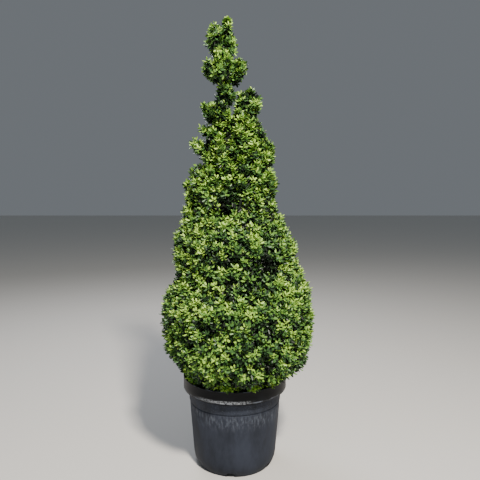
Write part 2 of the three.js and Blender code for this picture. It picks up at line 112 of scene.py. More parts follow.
def along_stations(stations: Array, height: Array | float) -> Array:
    """Gives the values at a height on smooth curves through stations.

    Args:
        stations: Rows of a height and the values there, lowest first.
        height: One height or many.

    Returns:
        The values at each height, in the last axis.
    """
    knots = stations[:, 0]
    last = len(knots) - 1
    at = np.clip(np.asarray(height, float), knots[0], knots[-1])
    above = np.clip(np.searchsorted(knots, at), 1, last)
    width = knots[above] - knots[above - 1]
    share = ((at - knots[above - 1]) / width)[..., None]

    def slope(index: Array) -> Array:
        """Gives the curve's slope at stations, over the width of this stretch.

        Args:
            index: Which stations.

        Returns:
            The slope of each value.
        """
        before = stations[np.maximum(index - 1, 0)]
        after = stations[np.minimum(index + 1, last)]
        return (after[..., 1:] - before[..., 1:]) / (after[..., :1] - before[..., :1]) * width[..., None]

    low = stations[above - 1][..., 1:]
    rise = stations[above][..., 1:] - low
    start = slope(above - 1)
    end = slope(above)
    return low + share * (start + share * (3 * rise - 2 * start - end + share * (start + end - 2 * rise)))


# Meshes


@dataclass(frozen=True)
class Copies:
    """Places of copies of one small shape: their roots, their three scaled axes and their tones."""

    root: Array
    ahead: Array
    across: Array
    facing: Array
    tone: Array

    @staticmethod
    def joined(parts: Sequence["Copies"]) -> "Copies":
        """Joins several sets of copies into one."""
        names = ("root", "ahead", "across", "facing", "tone")
        return Copies(*(np.concatenate([getattr(part, name) for part in parts]) for name in names))

    def mesh(self, name: str, shape: bpy.types.Mesh) -> bpy.types.Mesh:
        """Makes one mesh that holds every copy.

        Args:
            name: The mesh's name.
            shape: The small shape: X goes ahead, Y across and Z up from its face.

        Returns:
            The joined mesh in metres, with each copy's tone as its material index.
        """
        corners = np.zeros(len(shape.vertices) * 3)
        shape.vertices.foreach_get("co", corners)
        corners = corners.reshape(-1, 3)
        loops = np.zeros(len(shape.loops), int)
        shape.loops.foreach_get("vertex_index", loops)
        starts = np.zeros(len(shape.polygons), int)
        shape.polygons.foreach_get("loop_start", starts)
        axes = np.stack([self.ahead, self.across, self.facing], axis=1)
        points = (self.root[:, None, :] + corners @ axes) * METRES
        order = np.arange(len(self.root))[:, None]
        mesh = bpy.data.meshes.new(name)
        mesh.vertices.add(points.shape[0] * points.shape[1])
        mesh.vertices.foreach_set("co", points.ravel())
        mesh.loops.add(len(self.root) * len(loops))
        mesh.loops.foreach_set("vertex_index", (order * len(corners) + loops).ravel())
        mesh.polygons.add(len(self.root) * len(starts))
        mesh.polygons.foreach_set("loop_start", (order * len(loops) + starts).ravel())
        mesh.polygons.foreach_set("material_index", np.repeat(self.tone, len(starts)).astype(np.int32))
        mesh.update(calc_edges=True)
        mesh.shade_smooth()
        return mesh


def mesh_from(bm: bmesh.types.BMesh, name: str) -> bpy.types.Mesh:
    """Turns a finished bmesh into a mesh.

    Args:
        bm: The bmesh, which is freed.
        name: The mesh's name.

    Returns:
        The new mesh.
    """
    mesh = bpy.data.meshes.new(name)
    bm.to_mesh(mesh)
    bm.free()
    return mesh


def placed(name: str, data: bpy.types.ID) -> bpy.types.Object:
    """Puts a mesh, curve, lamp or camera in the scene.

    Args:
        name: The object's name.
        data: What it shows.

    Returns:
        The new object, at the origin.
    """
    made = bpy.data.objects.new(name, data)
    bpy.context.scene.collection.objects.link(made)
    return made


def evaluated(source: bpy.types.Object) -> bpy.types.Mesh:
    """Gives the mesh that an object's curve or modifiers make."""
    depsgraph = bpy.context.evaluated_depsgraph_get()
    return bpy.data.meshes.new_from_object(source.evaluated_get(depsgraph))


def spun(profile: Sequence[Span], steps: int) -> bmesh.types.BMesh:
    """Spins a profile round the Z axis into a closed shell.

    Args:
        profile: Corners as a radius and a height in millimetres. Both ends lie on the axis.
        steps: How many steps go round.

    Returns:
        The shell in metres, with its faces outwards.
    """
    bm = bmesh.new()
    corners = [bm.verts.new((radius * METRES, 0, height * METRES)) for radius, height in profile]
    for low, high in zip(corners, corners[1:]):
        bm.edges.new((low, high))
    bmesh.ops.spin(
        bm,
        geom=bm.verts[:] + bm.edges[:],
        cent=(0, 0, 0),
        axis=(0, 0, 1),
        angle=2 * math.pi,
        steps=steps,
        use_merge=True,
    )
    bmesh.ops.remove_doubles(bm, verts=bm.verts[:], dist=MERGE_DISTANCE)
    bmesh.ops.recalc_face_normals(bm, faces=bm.faces[:])
    return bm


def tubes(name: str, lines: Sequence[Array], radii: Sequence[Array], roundness: int) -> bpy.types.Mesh:
    """Makes tapering tubes along lines of points, by bevelled curves.

    Args:
        name: The mesh's name.
        lines: The points of each tube, in millimetres.
        radii: The radius at each of those points.
        roundness: The curve's bevel resolution: 0 gives four sides, and each step two more.

    Returns:
        One mesh in metres that holds all the tubes, with closed ends.
    """
    curve = bpy.data.curves.new(name, "CURVE")
    curve.dimensions = "3D"
    curve.bevel_depth = METRES
    curve.bevel_resolution = roundness
    curve.use_fill_caps = True
    for line, radius in zip(lines, radii):
        spline = curve.splines.new("POLY")
        spline.points.add(len(line) - 1)
        spline.points.foreach_set("co", np.column_stack([line * METRES, np.ones(len(line))]).ravel())
        spline.points.foreach_set("radius", radius)
    carrier = placed(name, curve)
    mesh = evaluated(carrier)
    bpy.data.objects.remove(carrier)
    bpy.data.curves.remove(curve)
    mesh.materials.clear()
    mesh.shade_smooth()
    return mesh


def piece(
    name: str,
    mesh: bpy.types.Mesh,
    materials: Sequence[bpy.types.Material],
    nodes: Sequence[str],
) -> bpy.types.Object:
    """Puts a finished mesh in the scene as a piece that rides on the plant's body.

    Args:
        name: The piece's name.
        mesh: Its mesh, in place.
        materials: Its materials, in the order of the mesh's material indices.
        nodes: The CAD nodes that it stands for.

    Returns:
        The new object.
    """
    mesh.name = name
    for material in materials:
        mesh.materials.append(material)
    made = placed(name, mesh)
    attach(made, BODY)
    if nodes:
        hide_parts(*nodes)
    mesh.calc_loop_triangles()
    log.info("%s: %d triangles", name, len(mesh.loop_triangles))
    return made


# Materials


# Sockets of a colour mix: its share, the colours under and over it, and its result
MIX_SHARE, MIX_UNDER, MIX_OVER, MIX_RESULT = 0, 6, 7, 2


def linear(colour: str) -> tuple[float, float, float, float]:
    """Turns an sRGB colour into linear light by the standard curve.

    Args:
        colour: The colour in hex, with a # before it.

    Returns:
        Red, green, blue and an alpha of 1.
    """
    parts = [int(colour[place : place + 2], 16) / 255 for place in (1, 3, 5)]
    red, green, blue = (
        part / 12.92 if part <= 0.04045 else ((part + 0.055) / 1.055) ** 2.4 for part in parts
    )
    return red, green, blue, 1.0


def plug(tree: bpy.types.NodeTree, node: bpy.types.Node, inputs: dict[str | int, object]) -> None:
    """Fills a node's sockets.

    Args:
        tree: The tree that holds the node.
        node: The node.
        inputs: What goes into its sockets, by name or place: a value, or another node's output.
    """
    for socket, value in inputs.items():
        if isinstance(value, bpy.types.NodeSocket):
            tree.links.new(value, node.inputs[socket])
        else:
            node.inputs[socket].default_value = value


def add_node(
    tree: bpy.types.NodeTree,
    kind: str,
    settings: dict[str, object] | None = None,
    inputs: dict[str | int, object] | None = None,
) -> bpy.types.Node:
    """Adds a node to a tree, with its settings and links.

    Args:
        tree: The tree that takes the node.
        kind: The node's type.
        settings: Its own options, by name.
        inputs: What goes into its sockets, as plug takes it.

    Returns:
        The new node.
    """
    node = tree.nodes.new(kind)
    for option, value in (settings or {}).items():
        setattr(node, option, value)
    plug(tree, node, inputs or {})
    return node


def new_material(name: str) -> tuple[bpy.types.Material, bpy.types.NodeTree, bpy.types.Node]:
    """Makes a material with nodes.

    Args:
        name: The material's name.

    Returns:
        The material, its node tree and its shader.
    """
    material = bpy.data.materials.new(name)
    material.use_nodes = True
    tree = material.node_tree
    return material, tree, tree.nodes["Principled BSDF"]


class Tone(IntEnum):
    """Tones of leaves: the inner tone is painted shade of the crown's inside, and the rest run from old
    leaves, darkened as painted shade, to the newest flush.
    """

    INNER = 0
    OLD_AND_PAINTED_SHADE = 1
    DEEP = 2
    GREEN = 3
    FRESH = 4
    YOUNG = 5
    FLUSH = 6


@dataclass(frozen=True)
class HollyLeaf:
    """Holly leaf: a thick blade with a waxy skin, which gives soft pale glints over a deep green."""

    tone: Tone
    colour: str
    roughness: float
    wax: float
    specular: float = 0.3
    wax_roughness: float = 0.3

    def make(self) -> bpy.types.Material:
        """Makes the leaf's material.

        Returns:
            The material, in its one plain colour.
        """
        material, tree, shader = new_material(f"holly_leaf_{self.tone.name.lower()}")
        skin = {
            "Base Color": linear(self.colour),
            "Roughness": self.roughness,
            "Specular IOR Level": self.specular,
            "Coat Weight": self.wax,
            "Coat Roughness": self.wax_roughness,
        }
        plug(tree, shader, skin)
        return material


# Leaf colours: the inner tone is painted shade, the old and deep greens are darkened as painted shade, and
# the lighter greens are the young growth's own colours
LEAVES = (
    HollyLeaf(Tone.INNER, "#070B07", 0.8, 0.0),
    HollyLeaf(Tone.OLD_AND_PAINTED_SHADE, "#0F1A0E", 0.5, 0.1),
    HollyLeaf(Tone.DEEP, "#1D331D", 0.45, 0.16),
    HollyLeaf(Tone.GREEN, "#3F6334", 0.45, 0.2),
    HollyLeaf(Tone.FRESH, "#5C8738", 0.45, 0.2),
    HollyLeaf(Tone.YOUNG, "#7AA642", 0.45, 0.2),
    HollyLeaf(Tone.FLUSH, "#A3CA55", 0.46, 0.2),
)


@dataclass(frozen=True)
class HollyBark:
    """Holly bark: thin, grey and smooth to the eye, with small corky pores and shallow cracks.

    Patches and cracks have their sizes in millimetres. The cracks are drawn wider than real ones, to show,
    and run up the limb.
    """

    name: str = "holly_bark"
    grey: str = "#8A7F70"
    brown: str = "#5B4A39"
    cork: str = "#3A3027"
    patch: float = 22
    crack: float = 2.6
    crack_levels: Span = (0.5, 0.36)
    crack_depth: float = 0.6
    upright: float = 0.16
    roughness: float = 0.82

    def make(self) -> bpy.types.Material:
        """Makes the bark.

        Returns:
            The material: grey and brown patches, crossed by dark pores and cracks.
        """
        material, tree, shader = new_material(self.name)
        place = add_node(tree, "ShaderNodeTexCoord").outputs["Object"]
        patches = add_node(
            tree,
            "ShaderNodeTexNoise",
            inputs={"Vector": place, "Scale": 1 / (self.patch * METRES), "Detail": 4.0, "Roughness": 0.6},
        )
        drawn = add_node(
            tree,
            "ShaderNodeMapping",
            {"vector_type": "POINT"},
            {"Vector": place, "Scale": (1.0, 1.0, self.upright)},
        )
        cracks = add_node(
            tree,
            "ShaderNodeTexNoise",
            inputs={"Vector": drawn.outputs[0], "Scale": 1 / (self.crack * METRES), "Detail": 3.0},
        ).outputs["Fac"]
        whole, open_crack = self.crack_levels
        dark = add_node(
            tree,
            "ShaderNodeMapRange",
            inputs={"Value": cracks, "From Min": whole, "From Max": open_crack},
        )
        colour: object = linear(self.brown)
        for share, over in ((patches.outputs["Fac"], self.grey), (dark.outputs[0], self.cork)):
            inputs = {MIX_SHARE: share, MIX_UNDER: colour, MIX_OVER: linear(over)}
            colour = add_node(tree, "ShaderNodeMix", {"data_type": "RGBA"}, inputs).outputs[MIX_RESULT]
        relief = add_node(
            tree,
            "ShaderNodeBump",
            inputs={"Height": cracks, "Strength": 0.6, "Distance": self.crack_depth * METRES},
        )
        skin = {"Base Color": colour, "Normal": relief.outputs[0], "Roughness": self.roughness}
        plug(tree, shader, skin)
        return material


@dataclass(frozen=True)
class GreenTwig:
    """Young holly twig: a smooth green-brown skin, with a faint sheen."""

    name: str
    colour: str
    roughness: float = 0.6

    def make(self) -> bpy.types.Material:
        """Makes the twig's material.

        Returns:
            The material, in its one plain colour.
        """
        material, tree, shader = new_material(self.name)
        plug(tree, shader, {"Base Color": linear(self.colour), "Roughness": self.roughness})
        return material


@dataclass(frozen=True)
class Mark:
    """A mark on the pot: its colour, and where it lies, as a noise cut at two levels and faded.

    The noise has a size in millimetres, and its stretch is over 1 for marks that run up and down. Each fade
    is an axis with the place where the mark starts and the place where it is whole, in metres.
    """

    colour: str
    size: float
    stretch: float
    low: float
    high: float
    fades: tuple[tuple[str, float, float], ...]


SMUDGE = "#565B66"

# The part of the collar's front where it is scuffed
SCUFFED_FRONT = (("X", -0.19, -0.12), ("X", 0.1, 0.03), ("Y", -0.1, -0.2))


@dataclass(frozen=True)
class PotPlastic:
    """Black blow-moulded polyethylene: a dull charcoal skin, dusted by watering and scuffed pale at its rim.

    The moulded grain is drawn at 1.8 mm, coarser than it is, so that it shows. The dust stops just under the
    collar, so the bare charcoal of the collar and of a stripe under it is painted shade.
    """

    name: str = "blow_moulded_polyethylene"
    charcoal: str = "#0C0E12"
    grain: float = 1.8
    grain_depth: float = 0.3
    gloss: float = 0.12
    clean_roughness: float = 0.4
    dusty_roughness: float = 0.72
    # Dust from watering; where it stops, just under the collar's ledge, the bare dark charcoal of that stripe
    # and of the collar is painted shade
    dust_and_painted_shade: Mark = Mark("#363B47", 70, 2.5, 0, 0.76, (("Z", -0.2, 0.14), ("Z", 0.366, 0.35)))
    runs: Mark = Mark(SMUDGE, 10, 3.0, 0.42, 0.74, (("Z", 0.21, 0.285), ("Z", 0.314, 0.29)))
    specks: Mark = Mark(SMUDGE, 4, 1.0, 0.56, 0.68, (("Z", 0.3, 0.325), ("Z", 0.362, 0.35)))
    edge_wear: Mark = Mark(SMUDGE, 30, 0.4, 0.4, 0.62, (("Z", 0.3725, 0.3745), ("Z", 0.3815, 0.3775)))
    rim_wear: Mark = Mark(SMUDGE, 26, 0.4, 0.42, 0.66, (("Z", 0.4255, 0.429),))
    scuffs: Mark = Mark(
        "#969AA1",
        8,
        0.5,
        0.42,
        0.6,
        (("Z", 0.3735, 0.3765), ("Z", 0.391, 0.383), *SCUFFED_FRONT),
    )

    def make(self) -> bpy.types.Material:
        """Makes the plastic.

        Returns:
            The material: each mark is laid over the ones before it, over a fine moulded grain.
        """
        material, tree, shader = new_material(self.name)
        place = add_node(tree, "ShaderNodeTexCoord").outputs["Object"]
        marks = (self.dust_and_painted_shade, self.runs, self.specks, self.edge_wear, self.rim_wear, self.scuffs)
        shares = [self.share(tree, place, mark) for mark in marks]
        colour: object = linear(self.charcoal)
        for share, mark in zip(shares, marks):
            inputs = {MIX_SHARE: share, MIX_UNDER: colour, MIX_OVER: linear(mark.colour)}
            colour = add_node(tree, "ShaderNodeMix", {"data_type": "RGBA"}, inputs).outputs[MIX_RESULT]
        roughness = add_node(
            tree,
            "ShaderNodeMapRange",
            inputs={"Value": shares[0], "To Min": self.clean_roughness, "To Max": self.dusty_roughness},
        )
        grain = add_node(
            tree,
            "ShaderNodeTexNoise",
            inputs={"Vector": place, "Scale": 1 / (self.grain * METRES), "Detail": 2.0},
        )
        relief = add_node(
            tree,
            "ShaderNodeBump",
            inputs={"Height": grain.outputs["Fac"], "Strength": 0.4, "Distance": self.grain_depth * METRES},
        )
        skin = {
            "Base Color": colour,
            "Roughness": roughness.outputs[0],
            "Normal": relief.outputs[0],
            "Specular IOR Level": self.gloss,
        }
        plug(tree, shader, skin)
        return material

    def share(
        self, tree: bpy.types.NodeTree, place: bpy.types.NodeSocket, mark: Mark
    ) -> bpy.types.NodeSocket:
        """Gives how much of a mark there is at each place.

        Args:
            tree: The material's node tree.
            place: The coordinates on the pot.
            mark: The mark.

        Returns:
            The share of the mark, from 0 to 1.
        """
        drawn = add_node(
            tree,
            "ShaderNodeMapping",
            {"vector_type": "POINT"},
            {"Vector": place, "Scale": (1.0, 1.0, 1 / mark.stretch)},
        )
        inputs = {
            "Vector": drawn.outputs[0],
            "Scale": 1 / (mark.size * METRES),
            "Detail": 5.0,
            "Roughness": 0.65,
        }
        spots = add_node(tree, "ShaderNodeTexNoise", inputs=inputs)
        parts = add_node(tree, "ShaderNodeSeparateXYZ", inputs={0: place})
        cuts = [(spots.outputs["Fac"], mark.low, mark.high)]
        cuts += [(parts.outputs[axis], outside, inside) for axis, outside, inside in mark.fades]
        share: object = 1.0
        for source, outside, inside in cuts:
            fade = add_node(
                tree,
                "ShaderNodeMapRange",
                {"interpolation_type": "SMOOTHSTEP"},
                {"Value": source, "From Min": outside, "From Max": inside},
            )
            inputs = {0: share, 1: fade.outputs[0]}
            share = add_node(tree, "ShaderNodeMath", {"operation": "MULTIPLY"}, inputs).outputs[0]
        return share


@dataclass(frozen=True)
class Peat:
    """Peat and composted bark: crumbly, almost black where damp and brown where it has dried."""

    name: str
    damp: str
    dry: str
    crumb: float
    relief: float
    roughness: float = 0.95

    def make(self) -> bpy.types.Material:
        """Makes the mix.

        Returns:
            The material, with its crumbs.
        """
        material, tree, shader = new_material(self.name)
        place = add_node(tree, "ShaderNodeTexCoord").outputs["Object"]
        crumbs = add_node(
            tree,
            "ShaderNodeTexNoise",
            inputs={"Vector": place, "Scale": 1 / (self.crumb * METRES), "Detail": 6.0, "Roughness": 0.7},
        ).outputs["Fac"]
        inputs = {MIX_SHARE: crumbs, MIX_UNDER: linear(self.damp), MIX_OVER: linear(self.dry)}
        colour = add_node(tree, "ShaderNodeMix", {"data_type": "RGBA"}, inputs)
        relief = add_node(
            tree,
            "ShaderNodeBump",
            inputs={"Height": crumbs, "Strength": 0.8, "Distance": self.relief * METRES},
        )
        skin = {
            "Base Color": colour.outputs[MIX_RESULT],
            "Normal": relief.outputs[0],
            "Roughness": self.roughness,
        }
        plug(tree, shader, skin)
        return material


DAMP_PEAT = Peat("damp_peat", "#120C08", "#33241A", 3.5, 1.5)
CHIPPED_BARK = (
    Peat("composted_bark_dark", "#1A120C", "#3A2A1E", 4, 0.6),
    Peat("composted_bark_brown", "#2E2016", "#5A4230", 4, 0.6),
    Peat("composted_bark_grey", "#3D342B", "#756454", 4, 0.6),
)


# Nursery pot and potting mix


@dataclass
class NurseryPot:
    """Round nursery pot with a deep collar, a band under it, a tapered body and drains in its bottom edge.

    Each curve is a few corners: how far out from its radius, and how far up from its height or, for the heel,
    the share of its height. Outside the true radius the wall wanders a little from round.
    """

    height: float = 430
    rim_radius: float = 249
    collar_height: float = 57
    band_height: float = 61
    band_radius: float = 223
    body_radius: float = 218.5
    heel_height: float = 58
    heel_radius: float = 201
    foot_radius: float = 184
    wall: float = 4
    floor: float = 6
    edge: float = 4
    foot_bevel: float = 1.2
    rim_bevel: float = 0.8
    heel_curve: tuple[Span, ...] = ((-10, 0.3), (-4, 0.55), (-0.8, 0.85), (0.8, 1.2))
    step_line: tuple[Span, ...] = ((-1, -40), (-0.4, -9), (-2.4, -6), (-2.4, -2.5), (2.4, 0), (3, 2))
    collar_curve: tuple[Span, ...] = ((-1.2, -3.1), (0, 0), (-0.6, 24))
    rolled_rim: tuple[Span, ...] = ((0, -7), (0.4, -2), (-0.8, 0))
    steps: int = 144
    drain_count: int = 6
    drain_first_bearing: float = 265
    drain_width: float = 60
    drain_top_width: float = 34
    drain_height: float = 22
    drain_depth: float = 34
    drain_bevel: float = 4
    drain_bevel_steps: int = 4
    wander: float = 1.2
    wander_per_metre: float = 7
    true_radius: float = 150
    sharp_angle: float = 32
    finish: PotPlastic = field(default_factory=PotPlastic)

    @property
    def ledge(self) -> float:
        """The height of the collar's lower edge."""
        return self.height - self.collar_height

    @property
    def step(self) -> float:
        """The height of the band's lower edge."""
        return self.ledge - self.band_height

    def inside(self, gap: float) -> list[Span]:
        """Gives the inner profile, from under the collar down to the floor.

        Args:
            gap: How far it is moved in.

        Returns:
            Its corners, as a radius and a height.
        """
        wall = self.wall + gap
        return [
            (self.rim_radius - wall, self.ledge + self.edge),
            (self.band_radius - wall, self.ledge),
            (self.body_radius - wall, self.step),
            (self.heel_radius - wall, self.heel_height),
            (self.foot_radius - wall, self.floor + gap),
        ]

    def profile(self) -> list[Span]:
        """Gives the whole profile, from the middle of the underside round to the middle of the floor.

        Returns:
            Its corners, as a radius and a height.
        """
        under_ledge = self.ledge - self.edge
        rim_inside = self.rim_radius - self.wall
        return [
            (0, 0),
            (self.foot_radius - self.edge, 0),
            (self.foot_radius - self.foot_bevel, self.foot_bevel),
            (self.foot_radius, self.edge),
            *((self.heel_radius + out, self.heel_height * share) for out, share in self.heel_curve),
            *((self.body_radius + out, self.step + up) for out, up in self.step_line),
            (self.band_radius, under_ledge),
            (self.band_radius + 1, under_ledge - self.rim_bevel),
            (self.rim_radius - self.edge, under_ledge),
            *((self.rim_radius + out, self.ledge + up) for out, up in self.collar_curve),
            *((self.rim_radius + out, self.height + up) for out, up in self.rolled_rim),
            (rim_inside + self.rim_bevel, self.height),
            (rim_inside, self.height - 1),
            *self.inside(0),
            (0, self.floor),
        ]

    def drain(self, bearing: float) -> bpy.types.Object:
        """Makes the wedge that cuts one drain, with its upper corners bevelled.

        Args:
            bearing: Where it goes round the pot, in degrees from the right.

        Returns:
            The wedge, in place.
        """
        bm = bmesh.new()
        bmesh.ops.create_cube(bm, size=1)
        size = Vector((2 * self.drain_depth, self.drain_width, 2 * self.drain_height)) * METRES
        bmesh.ops.scale(bm, verts=bm.verts[:], vec=size)
        top = [vert for vert in bm.verts if vert.co.z > 0]
        bmesh.ops.scale(bm, verts=top, vec=(1, self.drain_top_width / self.drain_width, 1))
        top_edges = [edge for edge in bm.edges if all(vert in top for vert in edge.verts)]
        bmesh.ops.bevel(
            bm,
            geom=[edge for edge in top_edges if abs(edge.verts[0].co.y - edge.verts[1].co.y) < METRES],
            offset=self.drain_bevel * METRES,
            offset_type="OFFSET",
            affect="EDGES",
            segments=self.drain_bevel_steps,
            profile=0.5,
            material=-1,
        )
        bmesh.ops.translate(bm, verts=bm.verts[:], vec=(self.foot_radius * METRES, 0, 0))
        turn = Matrix.Rotation(math.radians(bearing), 3, "Z")
        bmesh.ops.rotate(bm, verts=bm.verts[:], cent=(0, 0, 0), matrix=turn)
        return placed("drain_cutter", mesh_from(bm, "drain_cutter"))

    def build(self) -> bpy.types.Object:
        """Spins the pot, cuts its drains and lets its thin wall wander a little from round.

        Returns:
            The finished piece.
        """
        shell = placed("pot_shell", mesh_from(spun(self.profile(), self.steps), "pot_shell"))
        apart = 360 / self.drain_count
        cutters = [self.drain(self.drain_first_bearing + apart * index) for index in range(self.drain_count)]
        for cutter in cutters:
            cut = shell.modifiers.new("drain", "BOOLEAN")
            cut.operation = "DIFFERENCE"
            cut.solver = "EXACT"
            cut.object = cutter
        mesh = evaluated(shell)
        for used in (*cutters, shell):
            bpy.data.objects.remove(used)
        for vert in mesh.vertices:
            wander = noise.noise(vert.co * self.wander_per_metre) * self.wander * METRES
            outward = Vector((vert.co.x, vert.co.y, 0))
            if outward.length > self.true_radius * METRES:
                vert.co += outward.normalized() * wander
        mesh.shade_smooth()
        mesh.set_sharp_from_angle(angle=math.radians(self.sharp_angle))
        return piece("pot_nursery", mesh, [self.finish.make()], ["pot"])


@dataclass
class PottingMix:
    """Potting mix that fills the pot down to the drains, with a crumbly top strewn with chips of bark.

    Chips have their breadth and thickness as shares of their length. None lies in the middle of the top,
    which is the trunk's share of it.
    """

    pot: NurseryPot
    top: float = 392
    gap: float = 0.3
    drain_clearance: float = 2
    steps: int = 120
    rings: int = 44
    lump: float = 5
    lump_width: float = 38
    crumb_width: float = 11
    crumb_share: float = 0.45
    dip: float = 2
    level_edge: float = 30
    sharp_angle: float = 50
    chips: int = 900
    chip_length: Span = (5, 17)
    chip_breadth: Span = (0.35, 0.7)
    chip_thickness: Span = (0.15, 0.3)
    chip_tilt: float = 0.35
    chip_margin: float = 12
    trunk_share: float = 0.012
    chip_seed: int = 11

    def surface(self, x: Array, y: Array) -> Array:
        """Gives how far the top stands above or below its level.

        Args:
            x: Places to the right.
            y: Places to the back.

        Returns:
            The heights there, in millimetres.
        """

        def bumps(width: float, layer: float) -> Array:
            """Gives smooth bumps of a width."""
            return np.array([noise.noise((a / width, b / width, layer)) for a, b in zip(x, y)])

        heights = bumps(self.lump_width, 3) + self.crumb_share * bumps(self.crumb_width, 7)
        edge = np.clip((self.pot.rim_radius - np.hypot(x, y)) / self.level_edge, 0, 1)
        return (heights * self.lump - self.dip) * edge

    def build(self) -> list[bpy.types.Object]:
        """Spins the filling, roughens its top and strews the chips.

        Returns:
            The filling and the chips.
        """
        brim = self.pot.rim_radius - self.pot.wall - self.gap
        above_drains = self.pot.drain_height + self.drain_clearance
        underside = [(0.0, above_drains), (self.pot.foot_radius - self.pot.drain_depth, above_drains)]
        top = [(brim * (1 - ring / self.rings), self.top) for ring in range(self.rings + 1)]
        bm = spun([*underside, *self.pot.inside(self.gap)[-2::-1], *top], self.steps)
        for vert in bm.verts:
            if vert.co.z > (self.top - 1) * METRES:
                place = vert.co / METRES
                vert.co.z += float(self.surface(np.array([place.x]), np.array([place.y]))[0]) * METRES
        mesh = mesh_from(bm, "potting_mix")
        mesh.shade_smooth()
        mesh.set_sharp_from_angle(angle=math.radians(self.sharp_angle))
        return [piece("potting_mix", mesh, [DAMP_PEAT.make()], ["soil"]), self.strew()]

    def strew(self) -> bpy.types.Object:
        """Strews flat chips of bark over the top.

        Returns:
            The chips, as one piece.
        """
        rng = np.random.default_rng(self.chip_seed)
        reach = self.pot.rim_radius - self.pot.wall - self.chip_margin
        radius = reach * np.sqrt(rng.uniform(self.trunk_share, 1, self.chips))
        turn = rng.uniform(0, 2 * math.pi, self.chips)
        x, y = radius * np.cos(turn), radius * np.sin(turn)
        root = np.column_stack([x, y, self.top + self.surface(x, y) + 1])
        facing = unit(rng.normal(0, self.chip_tilt, (self.chips, 3)) + UP)
        first, second = beside(facing)
        spin = rng.uniform(0, 2 * math.pi, (self.chips, 1))
        length = rng.uniform(*self.chip_length, (self.chips, 1)) / 2
        ahead = first * np.cos(spin) + second * np.sin(spin)
        across = np.cross(facing, ahead)
        chips = Copies(
            root,
            ahead * length,
            across * length * rng.uniform(*self.chip_breadth, (self.chips, 1)),
            facing * length * rng.uniform(*self.chip_thickness, (self.chips, 1)),
            rng.integers(0, len(CHIPPED_BARK), self.chips),
        )
        bm = bmesh.new()
        bmesh.ops.create_icosphere(bm, subdivisions=1, radius=1)
        mesh = chips.mesh("bark_chips", mesh_from(bm, "bark_chip"))
        return piece("bark_chips", mesh, [finish.make() for finish in CHIPPED_BARK], [])


# Growth: trunk, spaces of the crown, boughs and stems


# Height, the middle of the trunk to the right and to the back, and its radius
TRUNK_STATIONS = np.array(
    [
        (392.3, 0, 0, 20),
        (640, 9, -6, 17),
        (900, -7, 4, 14),
        (1180, 5, 7, 11),
        (1420, -17, 2, 8.5),
        (1640, -42, -4, 6.5),
        (1800, -54, 2, 5),
        (1905, -58, 0, 4),
    ],
    float,
)

# Height, and how far the leaf tips reach to the right and to the left
CROWN_STATIONS = np.array(
    [
        (438, 250, 240),
        (490, 330, 288),
        (550, 362, 336),
        (720, 380, 360),
        (800, 377, 360),
        (860, 368, 325),
        (920, 335, 297),
        (1000, 303, 299),
        (1090, 294, 291),
        (1200, 226, 254),
        (1330, 192, 238),
        (1440, 190, 194),
        (1510, 184, 190),
        (1556, 158, 132),
        (1600, 148, 110),
        (1640, 122, 92),
    ],
    float,
)


ROUND_STEP = 0.02
UP_STEP = 8


def crown_radius(height: Array, bearing: Array) -> Array:
    """Gives how far the leaf tips reach.

    Args:
        height: Heights in the crown.
        bearing: Bearings in radians, from the right.

    Returns:
        The crown's radius at each.
    """
    reach = along_stations(CROWN_STATIONS, height)
    right, left = reach[..., 0], reach[..., 1]
    return (right + left) / 2 + np.cos(bearing) * (right - left) / 2


def crown_point(bearing: Array, height: Array) -> Array:
    """Gives the points of the crown's outer side."""
    radius = crown_radius(height, bearing)
    return np.stack([np.cos(bearing) * radius, np.sin(bearing) * radius, height], axis=-1)


def crown_outward(point: Array) -> Array:
    """Gives the way straight out of the crown's outer side.

    Args:
        point: Points on that side.

    Returns:
        A direction of length 1 for each.
    """
    bearing, height = np.arctan2(point[:, 1], point[:, 0]), point[:, 2]
    round_way = crown_point(bearing + ROUND_STEP, height) - crown_point(bearing - ROUND_STEP, height)
    up_way = crown_point(bearing, height + UP_STEP) - crown_point(bearing, height - UP_STEP)
    return unit(np.cross(round_way, up_way))


def held_in(tip: Array, margin: float = 11, give: float = 0.3) -> Array:
    """Draws tips that stand too far out back towards the crown's outer side.

    Args:
        tip: The tips of shoots.
        margin: How far inside the outer side they may stand before they are drawn back.
        give: The share of what is beyond that they keep.

    Returns:
        The tips in their new places.
    """
    height = np.clip(tip[..., 2], CROWN_STATIONS[0, 0], CROWN_STATIONS[-1, 0])
    limit = crown_radius(height, np.arctan2(tip[..., 1], tip[..., 0])) - margin
    radius = np.linalg.norm(tip[..., :2], axis=-1)
    share = np.where(radius > limit, (limit + give * (radius - limit)) / radius, 1)
    return tip * np.stack([share, share, np.ones_like(share)], axis=-1)


@dataclass(frozen=True)
class Tier:
    """A ring of masses round the trunk, between two heights.

    Its bearing is that of its first mass, in degrees from the right, and inner is where the masses begin.
    """

    name: str
    low: float
    high: float
    count: int
    bearing: float
    inner: float


TIERS = (
    Tier("skirt", 438, 775, 6, 15, 84),
    Tier("belly", 775, 1065, 5, 40, 76),
    Tier("waist", 1065, 1325, 4, 20, 64),
    Tier("shoulder", 1325, 1628, 3, 30, 50),
)


@dataclass(frozen=True)
class TuftSize:
    """A tuft near the leader: its middle, its half sizes across, in depth and up, and where it grows from.

    Taper narrows it upwards, and lean moves its top to the right and its foot to the left. Leafy is the
    lowest and highest place of its twigs' tips, as shares of its half height.
    """

    name: str
    at: tuple[float, float, float]
    half: tuple[float, float, float]
    bough_from: float = 0
    foot: float = 0
    taper: float = 0
    lean: float = 0
    leafy: tuple[float, float] = (-0.7, 0.94)


